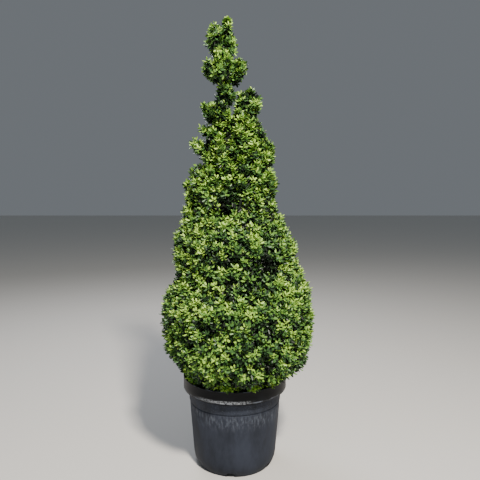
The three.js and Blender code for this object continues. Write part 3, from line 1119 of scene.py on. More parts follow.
TUFTS = (
    TuftSize("wing_left", (-90, -4, 1682), (50, 44, 50), 1592, lean=-20, leafy=(-1.1, 0.42)),
    TuftSize("wing_right", (68, -4, 1704), (62, 52, 70), 1580, taper=0.32, lean=6, leafy=(-1.2, 0.94)),
    TuftSize("wing_front", (-62, -84, 1674), (42, 34, 40), 1560, leafy=(-1.2, 0.5)),
    TuftSize("wing_back", (40, 86, 1678), (46, 34, 44), 1570, leafy=(-1.2, 0.94)),
    TuftSize("neck_front", (-36, -35, 1748), (32, 32, 44), foot=1712, lean=-2),
    TuftSize("neck_back", (-38, 37, 1750), (32, 32, 42), foot=1724, lean=-2),
    TuftSize("leader_left", (-98, 4, 1848), (28, 36, 48), 1786, taper=-0.4, lean=-10),
    TuftSize("leader_right", (8, -4, 1846), (32, 40, 58), 1772, taper=-0.5, lean=12),
    TuftSize("leader_front", (-54, -82, 1852), (42, 32, 44), foot=1800, lean=-3),
    TuftSize("leader_back", (-58, 81, 1850), (42, 32, 44), foot=1812, lean=-3),
    TuftSize("leader_top", (-60, 0, 2000), (66, 58, 98), foot=1905, taper=0.12, lean=-9, leafy=(-1, 0.52)),
)


def trunk_point(height: float) -> Array:
    """Gives the middle of the trunk at a height."""
    x, y, _ = along_stations(TRUNK_STATIONS, height)
    return np.array([x, y, height])


@dataclass(frozen=True)
class Aims:
    """Places on a mass's outer side that twigs grow towards: the point, the way out and how high it lies."""

    point: Array
    outward: Array
    rise: Array


@dataclass(frozen=True)
class BoughLine:
    """A bough's line as a start, a bend and a tip, with its radius at the start."""

    start: Array
    bend: Array
    tip: Array
    radius: float


# The share of its rise that a bough has made at its bend
BOUGH_BEND = 0.34


def bough_line(leaves_at: float, tip: Array, radius: float) -> BoughLine:
    """Draws a bough that leaves the trunk and bends outwards.

    Args:
        leaves_at: The height where it leaves the trunk.
        tip: Where it ends.
        radius: Its radius at the trunk.

    Returns:
        The bough's line.
    """
    start = trunk_point(leaves_at)
    bend = (start + tip) / 2
    bend[2] = start[2] + (tip[2] - start[2]) * BOUGH_BEND
    return BoughLine(start, bend, tip, radius)


@dataclass(frozen=True)
class Cell:
    """A space of the tiers. u runs round, v runs up and w runs outwards, each from -1 to 1.

    Its upper and lower border wander up and down, sink outwards and swirl round. Twigs over an end start at
    an end depth and lean out by an end lean, each a first value and how much it grows.
    """

    tier: Tier
    index: int
    border_wander: float = 8
    border_wave: float = 77
    border_sink: float = 24
    border_swirl: float = 0.2
    reach: float = 0.96
    bough_step: float = 21
    bough_drop: float = 1.7
    bough_entry: float = 22
    bough_entry_share: float = 0.34
    bough_radius: float = 4.5
    bough_swell: float = 0.025
    soil_top: float = 392
    stem_to: Place = (0, 0.3, 0.2)
    end_seed: int = 50
    end_depth: Span = (0.4, 0.55)
    end_lean: Span = (0.45, 0.25)
    edge_lean: float = 1.3

    @property
    def name(self) -> str:
        """The space's name, which its bough and its foliage share."""
        return f"{self.tier.name}_{self.index + 1}"

    @property
    def part(self) -> str:
        """The part of the crown that it belongs to."""
        return self.tier.name

    @property
    def group(self) -> str:
        """The joined piece that its leaves go to."""
        return f"{self.tier.name}_{'back' if math.sin(self.bearing) > 0 else 'front'}"

    @property
    def bearing(self) -> float:
        """The bearing of its middle, in radians."""
        return math.radians(self.tier.bearing) + 2 * math.pi * self.index / self.tier.count

    @property
    def half_turn(self) -> float:
        """Half of its way round, in radians."""
        return math.pi / self.tier.count

    def borders(self, bearing: Array, w: Array) -> tuple[Array, Array]:
        """Gives the lower and upper border, which wander up and down and sink outwards between tiers.

        Args:
            bearing: Bearings in radians.
            w: Depths.

        Returns:
            The heights of the lower and the upper border.
        """

        def border(height: float) -> Array:
            """Gives one border, which is level at the crown's two ends.

            Args:
                height: Its middle height.

            Returns:
                Its heights.
            """
            if height in (TIERS[0].low, TIERS[-1].high):
                return height + 0 * bearing
            wave = self.border_wander * np.sin(2 * bearing + height / self.border_wave)
            return height + wave - self.border_sink * w

        return border(self.tier.low), border(self.tier.high)

    def to_world(self, u: Array | float, v: Array | float, w: Array | float) -> Array:
        """Gives the points at places of the space.

        Args:
            u: Places round.
            v: Places up.
            w: Places outwards.

        Returns:
            The points.
        """
        bearing = self.bearing + np.asarray(u) * self.half_turn + np.asarray(w) * self.border_swirl
        low, high = self.borders(bearing, w)
        height = (low + high + v * (high - low)) / 2
        outer = crown_radius(height, bearing)
        radius = (self.tier.inner + outer + w * (outer - self.tier.inner)) / 2
        return np.stack([np.cos(bearing) * radius, np.sin(bearing) * radius, height], axis=-1)

    @property
    def half(self) -> Array:
        """Half sizes round, up and outwards at the middle.

        Returns:
            The three half sizes.
        """
        middle = (self.tier.low + self.tier.high) / 2
        outer = float(crown_radius(middle, self.bearing))
        return np.array([outer * self.half_turn, middle - self.tier.low, (outer - self.tier.inner) / 2])

    @property
    def area(self) -> float:
        """The area of the outer side."""
        return 4 * self.half[0] * self.half[1]

    @property
    def bough(self) -> BoughLine:
        """The bough that leaves the trunk below the mass and ends a little way in.

        Returns:
            Its line.
        """
        low, high, inner = self.tier.low, self.tier.high, self.tier.inner
        entry = low + (high - low) * self.bough_entry_share
        lowest = max(entry - self.bough_drop * inner, self.soil_top + 2 * self.bough_step)
        leaves_at = lowest + self.bough_step * (self.index * 2 % self.tier.count)
        half = self.half
        tip = self.to_world(0, 2 * self.bough_entry_share - 1, self.bough_entry / half[2] - 1)
        return bough_line(leaves_at, tip, self.bough_radius + half[0] * self.bough_swell)

    def aims(self, count: int, seed: int) -> Aims:
        """Spreads places evenly over the outer side, with the solid's own rule.

        Args:
            count: How many.
            seed: The mass's seed.

        Returns:
            The places.
        """
        u, v = self.spread(count, seed)
        point = self.to_world(u, v, 1)
        return Aims(point, crown_outward(point), v)

    def end_aims(self, count: int, seed: int, end: int) -> Aims:
        """Spreads places over the upper or the lower end, half of them along its outer edge.

        Args:
            count: How many.
            seed: The mass's seed.
            end: 1 for the upper end and -1 for the lower end.

        Returns:
            The places.
        """
        u, depth = self.spread(count, seed + self.end_seed)
        on_edge = np.arange(count) % 2 == 0
        w = np.where(on_edge, 1, self.end_depth[0] + self.end_depth[1] * depth)
        point = self.to_world(u, end, w)
        aside = point * (1, 1, 0) / np.linalg.norm(point[:, :2], axis=1, keepdims=True)
        share = np.where(on_edge, self.edge_lean, self.end_lean[0] + self.end_lean[1] * w)[:, None]
        return Aims(point, unit(aside * share + UP * end), 0 * u + end)

    def spread(self, count: int, seed: int) -> tuple[Array, Array]:
        """Gives evenly spread pairs of numbers within the twigs' reach.

        Args:
            count: How many.
            seed: The mass's seed.

        Returns:
            The first and the second number of each pair.
        """

        def side(power: int) -> Array:
            """Gives one number of each pair."""
            steps = np.arange(count) * PLASTIC_STEP**power + chance(seed, power)
            return self.reach * (2 * (steps % 1) - 1)

        return side(1), side(2)


@dataclass(frozen=True)
class Tuft:
    """A space round the leader. u runs across, v runs up and w runs to the front."""

    size: TuftSize
    roundness: float = 2.6
    entry: float = -0.82
    entry_inward: float = 0.4
    bough_radius: float = 4.5
    stem_to: Place = (0, 0.5, 0)
    least_ring: float = 0.2
    aim_rise: float = 0.6
    part: str = "leader"
    group: str = "leader"

    @property
    def name(self) -> str:
        """The space's name, which its bough and its foliage share."""
        return self.size.name

    @property
    def half(self) -> Array:
        """Half sizes across, up and in depth."""
        across, deep, high = self.size.half
        return np.array([across, high, deep], float)

    def to_world(self, u: Array | float, v: Array | float, w: Array | float) -> Array:
        """Gives the points at places of the tuft.

        Args:
            u: Places across.
            v: Places up.
            w: Places to the front.

        Returns:
            The points.
        """
        across, deep, high = self.size.half
        u, v, w = np.broadcast_arrays(u, v, w)
        width = 1 - self.size.taper * (v + 1) / 2
        offset = np.stack([u * across * width + self.size.lean * v, -w * deep * width, v * high], axis=-1)
        return offset + self.size.at

    @property
    def area(self) -> float:
        """The area of the outside."""
        return 4 * math.pi * float(np.prod(self.half)) ** (2 / 3)

    @property
    def bough(self) -> BoughLine | None:
        """The bough that enters from below.

        Returns:
            Its line, or nothing for a tuft on the leader itself.
        """
        if not self.size.bough_from:
            return None
        tip = self.to_world(0, self.entry, 0)
        inward = trunk_point(tip[2]) - tip
        inward[2] = 0
        tip = tip + unit(inward) * min(self.half[0], self.half[2]) * self.entry_inward
        return bough_line(self.size.bough_from, tip, self.bough_radius)

    def aims(self, count: int, seed: int) -> Aims:
        """Spreads places evenly all round the tuft.

        Args:
            count: How many.
            seed: The mass's seed.

        Returns:
            The places.
        """
        index = np.arange(count)
        lowest, highest = self.size.leafy
        v = highest - (highest - lowest) * (index + 0.5) / count
        turn = index * GOLDEN_ANGLE + seed
        ring = np.sqrt(np.maximum(1 - v * v, self.least_ring))
        place = rounded(np.stack([np.cos(turn) * ring, v, np.sin(turn) * ring], axis=-1), self.roundness)
        point = self.to_world(place[:, 0], place[:, 1], place[:, 2])
        return Aims(point, unit(point - self.to_world(0, v * self.aim_rise, 0)), v)


Space = Cell | Tuft


@dataclass
class Limbs:
    """Trunk, boughs and stems as barked wood, with a root flare, branch collars and shallow relief.

    Ridges and knots have their widths across the limb and along it.
    """

    ring_step: float = 5
    trunk_roundness: int = 10
    bough_roundness: int = 4
    bough_points: int = 30
    stem_points: int = 24
    root_flare: float = 0.55
    root_flare_height: float = 36
    root_count: int = 5
    root_depth: float = 0.35
    bough_taper: float = 0.42
    stem_radius: float = 5
    stem_taper: float = 0.44
    collar_swell: float = 0.7
    collar_length: float = 16
    relief: float = 0.07
    ridge: Span = (3.4, 26)
    knot: Span = (9, 14)
    knot_share: float = 0.6
    trunk_relief_radius: float = 20
    bough_relief_radius: float = 8
    finish: HollyBark = field(default_factory=HollyBark)

    def trunk(self) -> bpy.types.Mesh:
        """Makes the trunk, from its flat cut at the soil to its tip.

        Returns:
            Its mesh.
        """
        foot, tip = TRUNK_STATIONS[0, 0], TRUNK_STATIONS[-1, 0]
        height = np.linspace(foot, tip, int((tip - foot) / self.ring_step))
        x, y, radius = along_stations(TRUNK_STATIONS, height).T
        mesh = tubes("trunk", [np.column_stack([x, y, height])], [radius], self.trunk_roundness)
        for vert in mesh.vertices:
            above = vert.co.z / METRES - foot
            middle_x, middle_y, _ = along_stations(TRUNK_STATIONS, foot + above)
            aside = Vector((vert.co.x - middle_x * METRES, vert.co.y - middle_y * METRES, 0))
            turn = math.atan2(aside.y, aside.x)
            lobes = 1 - self.root_depth + self.root_depth * math.cos(self.root_count * turn)
            flare = self.root_flare * math.exp(-max(above, 0) / self.root_flare_height) * lobes
            vert.co += aside * flare
        self.roughen(mesh, self.trunk_relief_radius)
        return mesh

    def line(self, space: Space) -> tuple[Array, Array]:
        """Gives the line of a space's stem, joined to its bough where there is one.

        Args:
            space: The mass's space.

        Returns:
            The line and the radii at its points.
        """
        bough = space.bough
        foot = bough.tip if bough else trunk_point(space.size.foot)
        start_radius = bough.radius * (1 - self.bough_taper) if bough else self.stem_radius
        share = np.linspace(0, 1, self.stem_points)[:, None]
        stem = bezier(foot, space.to_world(0, 0, 0), space.to_world(*space.stem_to), share)
        stem_radii = np.linspace(start_radius, start_radius * (1 - self.stem_taper), self.stem_points)
        if bough is None:
            return stem, stem_radii
        share = np.linspace(0, 1, self.bough_points)[:, None]
        outer = bezier(bough.start, bough.bend, bough.tip, share)
        radii = bough.radius * (1 - self.bough_taper * share[:, 0])
        walked = np.concatenate([[0], np.cumsum(np.linalg.norm(np.diff(outer, axis=0), axis=1))])
        trunk_radius = along_stations(TRUNK_STATIONS, bough.start[2])[2]
        clear = np.maximum(walked - trunk_radius, 0)
        radii = radii * (1 + self.collar_swell * np.exp(-clear / self.collar_length))
        return np.concatenate([outer, stem[1:]]), np.concatenate([radii, stem_radii[1:]])

    def roughen(self, mesh: bpy.types.Mesh, thickness: float) -> None:
        """Raises shallow bark ridges that run up the limb.

        Args:
            mesh: The limb's mesh, changed in place.
            thickness: The limb's own radius in millimetres, which the ridges' height goes by.
        """

        def bumps(place: Vector, width: float, length: float) -> float:
            """Gives smooth bumps of a width and a length."""
            return noise.noise((place.x / width, place.y / width, place.z / length))

        normals = [vert.normal.copy() for vert in mesh.vertices]
        for vert, normal in zip(mesh.vertices, normals):
            place = vert.co / METRES
            ridge = bumps(place, *self.ridge) + self.knot_share * bumps(place, *self.knot)
            vert.co += normal * ridge * self.relief * thickness * METRES

    def build(self, spaces: Sequence[Space]) -> list[bpy.types.Object]:
        """Makes the trunk and all boughs with their stems.

        Args:
            spaces: The spaces of the masses.

        Returns:
            The trunk and the boughs.
        """
        bark = self.finish.make()
        lines, radii = zip(*(self.line(space) for space in spaces))
        boughs = tubes("boughs", lines, radii, self.bough_roundness)
        self.roughen(boughs, self.bough_relief_radius)
        nodes = [f"bough_{space.name}" for space in spaces if space.bough]
        return [
            piece("trunk_bark", self.trunk(), [bark], ["trunk"]),
            piece("boughs_bark", boughs, [bark], nodes),
        ]


# Foliage


@dataclass(frozen=True)
class ShootHabit:
    """How leaves stand along the end of a shoot."""

    length: float
    leaves: int
    leafy_length: float
    leaf_length: Span


@dataclass(frozen=True)
class LeafHabit:
    """How leaves stand on any shoot, from upright at its tip to spread lower down, each a little by chance.

    Age steps are the shares of the way down from the tip where the leaves get one tone older.
    """

    crowding: float = 1.15
    place_chance: float = 0.012
    turn_chance: float = 0.2
    upright: float = 24
    spread: float = 58
    spread_power: float = 0.6
    lean_chance: float = 0.14
    roll_chance: float = 0.3
    grown_at: float = 0.35
    length_chance: Span = (0.82, 1.1)
    breadth: float = 0.42
    breadth_chance: Span = (0.88, 1.12)
    age_steps: tuple[float, ...] = (0.02, 0.25, 0.48, 0.72)
    age_chance: float = 0.17


@dataclass(frozen=True)
class PaintedLightAndChance:
    """How light a shoot's leaves are painted: lighter the further out and up it reaches, as painted light,
    and by chance, as the leaves' own spread of tones.

    Clump is the chance of a whole dome or spray, and single that of each of its shoots.
    """

    outward: float
    upward: float
    clump: float
    single: float

    def score(self, outward: Array, upward: Array, rng: np.random.Generator) -> Array:
        """Scores shoots by how much light is painted into their leaves, and by chance.

        Args:
            outward: How far out each reaches.
            upward: How far up each reaches, in a row for each dome or spray.
            rng: The mass's random numbers.

        Returns:
            The score of each.
        """
        clumps = rng.uniform(-self.clump, self.clump, (len(upward), 1))
        singles = rng.normal(0, self.single, upward.shape)
        return self.outward * outward + self.upward * upward + clumps + singles


@dataclass(frozen=True)
class DomeHabit:
    """How a bushy dome of shoots grows at the end of a twig, which ends short of the crown's side.

    Sunk is how deep a dome lies at least and at most. Where it lies between them goes by the middle share, by
    the crown's smooth hollows and by chance. Heading weighs each shoot's own way, the way out and the way up.
    """

    spacing: float
    short: float
    radius: Span
    sunk: Span
    shoots: int
    spread: float
    # Shade: painted shade that darkens the dome's leaves, or painted light where it is below 0
    shade: float
    sunk_middle: float = 0.32
    sunk_hollow: float = 1.1
    sunk_chance: float = 0.25
    # Sunk shade: painted shade that darkens a deeper dome's leaves
    sunk_shade: float = 0.5
    lift: float = 0.3
    scatter: float = 0.2
    reach: Span = (0.72, 1.12)
    root_depth: Span = (8, 34)
    heading: tuple[float, float, float] = (0.5, 0.15, 0.9)
    bend: float = 0.5
    light: PaintedLightAndChance = PaintedLightAndChance(outward=0.34, upward=0.3, clump=0.1, single=0.27)


@dataclass(frozen=True)
class SprayHabit:
    """How side shoots grow along a long spray, past the share of it that is bare.

    They lean out from it less, and get shorter, towards its tip.
    """

    spacing: float
    sunk: Span
    bare: float
    side_shoots: int
    side_length: float
    # Shade: painted shade that darkens the sprays' leaves
    shade: float
    place_chance: float = 0.03
    lean: float = math.radians(68)
    lean_loss: float = 0.65
    lean_power: int = 4
    lean_chance: float = 0.12
    lift: float = 0.6
    length_loss: float = 0.3
    length_chance: Span = (0.6, 1.4)
    heel: float = 6
    bow: float = 0.45
    bow_ahead: float = 0.6
    light: PaintedLightAndChance = PaintedLightAndChance(outward=0.5, upward=0.25, clump=0.12, single=0.24)


BUSHY_SHOOT = ShootHabit(60, 13, 45, (18, 25))
UPRIGHT_SHOOT = ShootHabit(50, 12, 43, (17, 25))
# Shade values: painted shade on the upper sprays and tufts, and painted light on the underside domes at the
# hem
CROWN_DOME = DomeHabit(63, 40, (32, 50), (0, 28), 12, math.radians(88), shade=0)
UNDERSIDE_DOME = DomeHabit(74, 36, (28, 40), (-6, 8), 11, math.radians(80), shade=-0.62)
SHOULDER_SPRAY = SprayHabit(53, (4, 40), 0.4, 7, 34, shade=0.19)
TUFT_SPRAY = SprayHabit(40, (6, 38), 0.3, 5, 28, shade=0.27)
PLACED_SPRAY = SprayHabit(0, (0, 0), 0.5, 20, 40, shade=0.28)
HABITS = {
    "skirt": CROWN_DOME,
    "belly": CROWN_DOME,
    "waist": CROWN_DOME,
    "shoulder": SHOULDER_SPRAY,
    "leader": TUFT_SPRAY,
}

# Scores past which a shoot gets one tone lighter: younger, and lit more as painted light
TONE_STEPS = (-0.02, 0.2, 0.4, 0.58)

TWIG_SKIN = GreenTwig("holly_twig", "#46392B")
SHOOT_SKIN = GreenTwig("green_shoot", "#4A5A2A")


@dataclass(frozen=True)
class Band:
    """Tiers whose twigs are spread as one, between a lowest and a highest height."""

    tiers: tuple[str, ...]
    spacing: float
    lowest: float
    highest: float


BANDS = (
    Band(("skirt", "belly", "waist"), CROWN_DOME.spacing * 1.1, 466, 1312),
    Band(("shoulder",), SHOULDER_SPRAY.spacing * 1.1, 1345, 1600),
)


@dataclass(frozen=True)
class ShadedLayer:
    """Older leaves on the inner wood: how deep they sit, how far apart, how long they are and their tone, a
    dark one that is painted shade.
    """

    depth: Span
    spacing: float
    leaf: Span
    tone: Tone
    lift: float = 0.3


# Layers of older leaves whose dark tones are painted shade of the crown's inside
SHADED_LAYERS = (
    ShadedLayer((28, 62), 12.5, (18, 25), Tone.OLD_AND_PAINTED_SHADE),
    ShadedLayer((52, 130), 15, (28, 36), Tone.INNER),
)


@dataclass(frozen=True)
class LongSpray:
    """A spray that stands out of the crown: the height where it leaves the trunk, its tip and fullness."""

    leaves_at: float
    tip: Place
    fullness: float = 1


LONG_SPRAYS = (
    LongSpray(1480, (-138, -14, 1582), 1.3),
    LongSpray(1420, (-176, -8, 1510), 1.6),
    LongSpray(1430, (150, -14, 1506), 1.1),
    LongSpray(1560, (-136, -10, 1690)),
    LongSpray(1440, (20, -158, 1570)),
    LongSpray(1450, (112, -112, 1556)),
    LongSpray(1440, (-96, -124, 1560)),
    LongSpray(1450, (-104, 112, 1570)),
    LongSpray(1440, (34, 160, 1566)),
    LongSpray(1430, (128, 104, 1552)),
    LongSpray(1500, (14, -70, 1650)),
    LongSpray(1500, (-60, 84, 1640)),
    LongSpray(1360, (168, -10, 1436), 0.6),
    LongSpray(1990, (-32, -4, 2084), 0.4),
)


@dataclass(frozen=True)
class Gap:
    """A round space between the shoots that lets the sky through: its middle and its half sizes."""

    at: Place
    half: Place


GAPS = (
    Gap((-186, 0, 1462), (82, 170, 44)),
    Gap((-146, 0, 1554), (38, 110, 20)),
    Gap((172, 0, 1424), (44, 120, 24)),
    Gap((164, 0, 1636), (58, 150, 84)),
    Gap((-14, 0, 1668), (15, 120, 44)),
    Gap((-74, 0, 1694), (15, 120, 24)),
    Gap((-155, 0, 1804), (64, 80, 38)),
    Gap((88, 0, 1832), (68, 80, 44)),
    Gap((128, 0, 1776), (44, 90, 48)),
    Gap((34, 0, 2050), (58, 80, 40)),
    Gap((-160, 0, 2062), (50, 80, 34)),
)


def in_gap(point: Array) -> Array:
    """Tells which points stand in a gap.

    Args:
        point: The points.

    Returns:
        True for each that does.
    """
    inside = np.zeros(point.shape[:-1], bool)
    for gap in GAPS:
        inside |= (((point - gap.at) / gap.half) ** 2).sum(-1) < 1
    return inside


EVENING_ROUNDS = 44
EVENING_STEP = 0.22


def evened(point: Array, band: Band) -> Array:
    """Moves places on the crown's outer side apart, so that no seam shows between two masses.

    Args:
        point: The places.
        band: How far apart they would stand, and between which heights they stay.

    Returns:
        The places after they have pushed each other apart.
    """
    for _ in range(EVENING_ROUNDS):
        apart = point[:, None] - point[None]
        distance = np.linalg.norm(apart, axis=2) + np.eye(len(point)) * band.spacing
        push = apart / distance[..., None] * np.clip(band.spacing - distance, 0, None)[..., None]
        moved = point + push.sum(1) * EVENING_STEP
        height = np.clip(moved[:, 2], band.lowest, band.highest)
        point = crown_point(np.arctan2(moved[:, 1], moved[:, 0]), height)
    return point


LEAF_CORNERS = 6
LEAF_FULLNESS = 1.12
LEAF_FOLD = 0.3
LEAF_ARCH = 0.16


def holly_leaf_shape() -> bpy.types.Mesh:
    """Makes one leaf blade, 1 long: an oval of few faces, arched and folded down from its midrib.

    Returns:
        Its mesh.
    """
    bm = bmesh.new()
    bmesh.ops.create_circle(bm, cap_ends=True, radius=0.5, segments=LEAF_CORNERS)
    for vert in bm.verts:
        ahead = vert.co.y + 0.5
        side = -vert.co.x * LEAF_FULLNESS
        vert.co = Vector((ahead, side, -LEAF_FOLD * abs(side) - LEAF_ARCH * ahead * ahead))
    ends = sorted(bm.verts, key=lambda vert: vert.co.x)
    bmesh.ops.connect_verts(bm, verts=[ends[0], ends[-1]])
    if sum(face.normal.z for face in bm.faces) < 0:
        bmesh.ops.reverse_faces(bm, faces=bm.faces[:])
    return mesh_from(bm, "holly_leaf")


@dataclass
class Twigs:
    """Twigs or the stems of sprays, as the ends and bends of their curves."""

    root: Array
    bend: Array
    tip: Array


@dataclass
class Shoots(Twigs):
    """Leafy shoots, with their tones and how they are leafed."""

    tone: Array
    habit: ShootHabit


@dataclass
class Foliage:
    """Twigs, shoots and leaves of every mass, from one rule.

    Twigs leave a stem between the two shares of its reach. Bends are how far a curve's bend lies out and down
    from its middle. A riser's foot lies in and down from its tip. Sprouts are short shoots on the leader:
    their lowest and highest height, and how many there are.
    """

    leaf: LeafHabit = LeafHabit()
    hollow_width: float = 95
    stem_reach: Span = (0.3, 1)
    twig_bend: Span = (14, 8)
    twig_radius: Span = (2.6, 1.4)
    twig_points: int = 6
    shoot_radius: Span = (1.2, 0.8)
    shoot_points: int = 3
    riser_foot: Span = (46, 92)
    riser_bend: Span = (16, 10)
    shoulder_top_twigs: int = 14
    underside_twigs: int = 20
    long_bend: Span = (0.14, 0.1)
    sprout_heights: tuple[tuple[float, float, int], ...] = (
        (1560, 1640, 22),
        (1700, 1870, 44),
        (1872, 1960, 26),
    )
    sprout_length: Span = (26, 44)
    sprout_lean: float = 0.8
    sprout_light: Span = (0.16, 0.2)
    leaf_seed: int = 1000
    extra_seed: int = 7

    def twigs(self, space: Space, aims: Aims, short: Array | float) -> Twigs:
        """Draws a twig from the mass's stem to each aim, from higher up the stem for a higher aim.

        Args:
            space: The mass's space.
            aims: Where its twigs go.
            short: How far before the aim a twig ends, in millimetres.

        Returns:
            The twigs' curves.
        """
        foot = space.bough.tip if space.bough else trunk_point(space.size.foot)
        share = np.interp(aims.rise, (-1, 1), self.stem_reach)[:, None]
        root = bezier(foot, space.to_world(0, 0, 0), space.to_world(*space.stem_to), share)
        tip = aims.point - aims.outward * short
        out, down = self.twig_bend
        return Twigs(root, (root + tip) / 2 + aims.outward * out - UP * down, tip)

    def risers(self, aims: Aims, rng: np.random.Generator) -> Twigs:
        """Draws steep stems that rise inside the shoulder to each aim.

        Args:
            aims: Where they go.
            rng: The mass's random numbers.

        Returns:
            Their curves.
        """
        tip = aims.point - aims.outward * rng.uniform(*SHOULDER_SPRAY.sunk, (len(aims.point), 1))
        inward, down = self.riser_foot
        root = tip - aims.outward * inward - UP * down
        out, down = self.riser_bend
        return Twigs(root, (root + tip) / 2 + aims.outward * out - UP * down, tip)

    def dome(self, aims: Aims, habit: DomeHabit, shoot: ShootHabit, rng: np.random.Generator) -> Shoots:
        """Grows a dome of shoots at each aim.

        Args:
            aims: Where the mass's twigs go.
            habit: How the domes grow.
            shoot: How their shoots are leafed.
            rng: The mass's random numbers.

        Returns:
            The shoots of all the domes.
        """
        domes = len(aims.point)
        shape = (domes, habit.shoots)
        hollow = np.array([[noise.noise(Vector(place) / self.hollow_width)] for place in aims.point])
        by_chance = rng.uniform(-habit.sunk_chance, habit.sunk_chance, (domes, 1))
        sunk_share = np.clip(habit.sunk_middle + habit.sunk_hollow * hollow + by_chance, 0, 1)
        sunk = habit.sunk[0] + sunk_share * (habit.sunk[1] - habit.sunk[0])
        radius = rng.uniform(*habit.radius, (domes, 1))
        middle = unit(aims.outward + UP * habit.lift)
        first, second = beside(middle)
        index = np.arange(habit.shoots)
        height = 1 - (index + 0.5) / habit.shoots * (1 - math.cos(habit.spread))
        ring = np.sqrt(1 - height**2)
        turn = index * GOLDEN_ANGLE + rng.uniform(0, 2 * math.pi, (domes, 1))
        directions = (
            middle[:, None] * height[:, None]
            + first[:, None] * (ring * np.cos(turn))[..., None]
            + second[:, None] * (ring * np.sin(turn))[..., None]
        )
        directions = unit(directions + rng.normal(0, habit.scatter, directions.shape))
        outward = aims.outward[:, None]
        centre = (aims.point - aims.outward * (sunk + radius))[:, None]
        tip = held_in(centre + directions * radius[:, None] * rng.uniform(*habit.reach, shape)[..., None])
        own, out, up = habit.heading
        ends = unit(directions * own + outward * out + UP * up)
        root = centre - outward * rng.uniform(*habit.root_depth, shape)[..., None]
        bend = tip - ends * shoot.length * habit.bend
        facing = (directions * middle[:, None]).sum(-1)
        # Painted shade for deeper domes and from the habit, and painted light for shoots that face out and up
        shade = habit.sunk_shade * sunk_share + habit.shade
        score = habit.light.score(facing, directions[..., 2], rng) - shade
        return self.shoots(root, bend, tip, score, shoot)

    def spray(
        self,
        stems: Twigs,
        habit: SprayHabit,
        rng: np.random.Generator,
        fullness: Array | float = 1,
    ) -> Shoots:
        """Grows upright side shoots in a spiral along long stems, and one on from each tip.

        Args:
            stems: The stems of the sprays.
            habit: How the side shoots stand.
            rng: The mass's random numbers.
            fullness: How much longer than usual the side shoots are.

        Returns:
            The shoots of all the sprays.
        """
        sprays = len(stems.tip)
        shape = (sprays, habit.side_shoots)
        order = np.linspace(habit.bare, 1, habit.side_shoots)
        share = np.clip(order + rng.normal(0, habit.place_chance, shape), 0, 1)[..., None]
        start, bend, end = stems.root[:, None], stems.bend[:, None], stems.tip[:, None]
        place = bezier(start, bend, end, share)
        heading = unit((bend - start) * (1 - share) + (end - bend) * share)
        first, second = beside(heading)
        turn = np.arange(habit.side_shoots) * GOLDEN_ANGLE + rng.uniform(0, 2 * math.pi, (sprays, 1))
        aside = first * np.cos(turn)[..., None] + second * np.sin(turn)[..., None]
        lean = habit.lean * (1 - habit.lean_loss * order**habit.lean_power)
        lean = (lean + rng.normal(0, habit.lean_chance, shape))[..., None]
        directions = unit(heading * np.cos(lean) + aside * np.sin(lean) + UP * habit.lift)
        length = habit.side_length * fullness * (1 - habit.length_loss * order)
        length = (length * rng.uniform(*habit.length_chance, shape))[..., None]
        tip = place + directions * length
        bow = heading * habit.bow_ahead + directions * (1 - habit.bow_ahead)
        # Painted light for shoots near the tip and facing up, less the habit's painted shade
        score = habit.light.score(order, directions[..., 2], rng) - habit.shade
        root = place - heading * habit.heel
        return self.shoots(root, place + bow * length * habit.bow, tip, score, UPRIGHT_SHOOT)

    def shoots(self, root: Array, bend: Array, tip: Array, score: Array, habit: ShootHabit) -> Shoots:
        """Lists the shoots outside the gaps, with a tone for how much painted light and young growth each
        has.

        Args:
            root: Where the shoots start.
            bend: Where they bend.
            tip: Where they end.
            score: How much light is painted into them.
            habit: How they are leafed.

        Returns:
            The shoots.
        """
        tone = np.digitize(score, TONE_STEPS) + Tone.DEEP
        keep = ~in_gap(tip).ravel()
        lines = (line.reshape(-1, 3)[keep] for line in (root, bend, tip))
        return Shoots(*lines, tone.ravel()[keep], habit)

    def sprouts(self, rng: np.random.Generator) -> Shoots:
        """Grows short shoots straight from the leader, between its tufts.

        Args:
            rng: The random numbers of what grows outside the masses.

        Returns:
            The shoots.
        """
        heights = np.concatenate([rng.uniform(*stretch) for stretch in self.sprout_heights])
        x, y, radius = along_stations(TRUNK_STATIONS, np.minimum(heights, TRUNK_STATIONS[-1, 0])).T
        count = len(heights)
        turn = np.arange(count) * GOLDEN_ANGLE
        aside = np.column_stack([np.cos(turn), np.sin(turn), np.zeros(count)])
        root = np.column_stack([x, y, heights])
        length = rng.uniform(*self.sprout_length, (count, 1)) + radius[:, None]
        tip = root + unit(aside * self.sprout_lean + UP * self.sprout_lean) * length
        bend = root + aside * length * 0.5
        return self.shoots(root, bend, tip, rng.normal(*self.sprout_light, count), UPRIGHT_SHOOT)

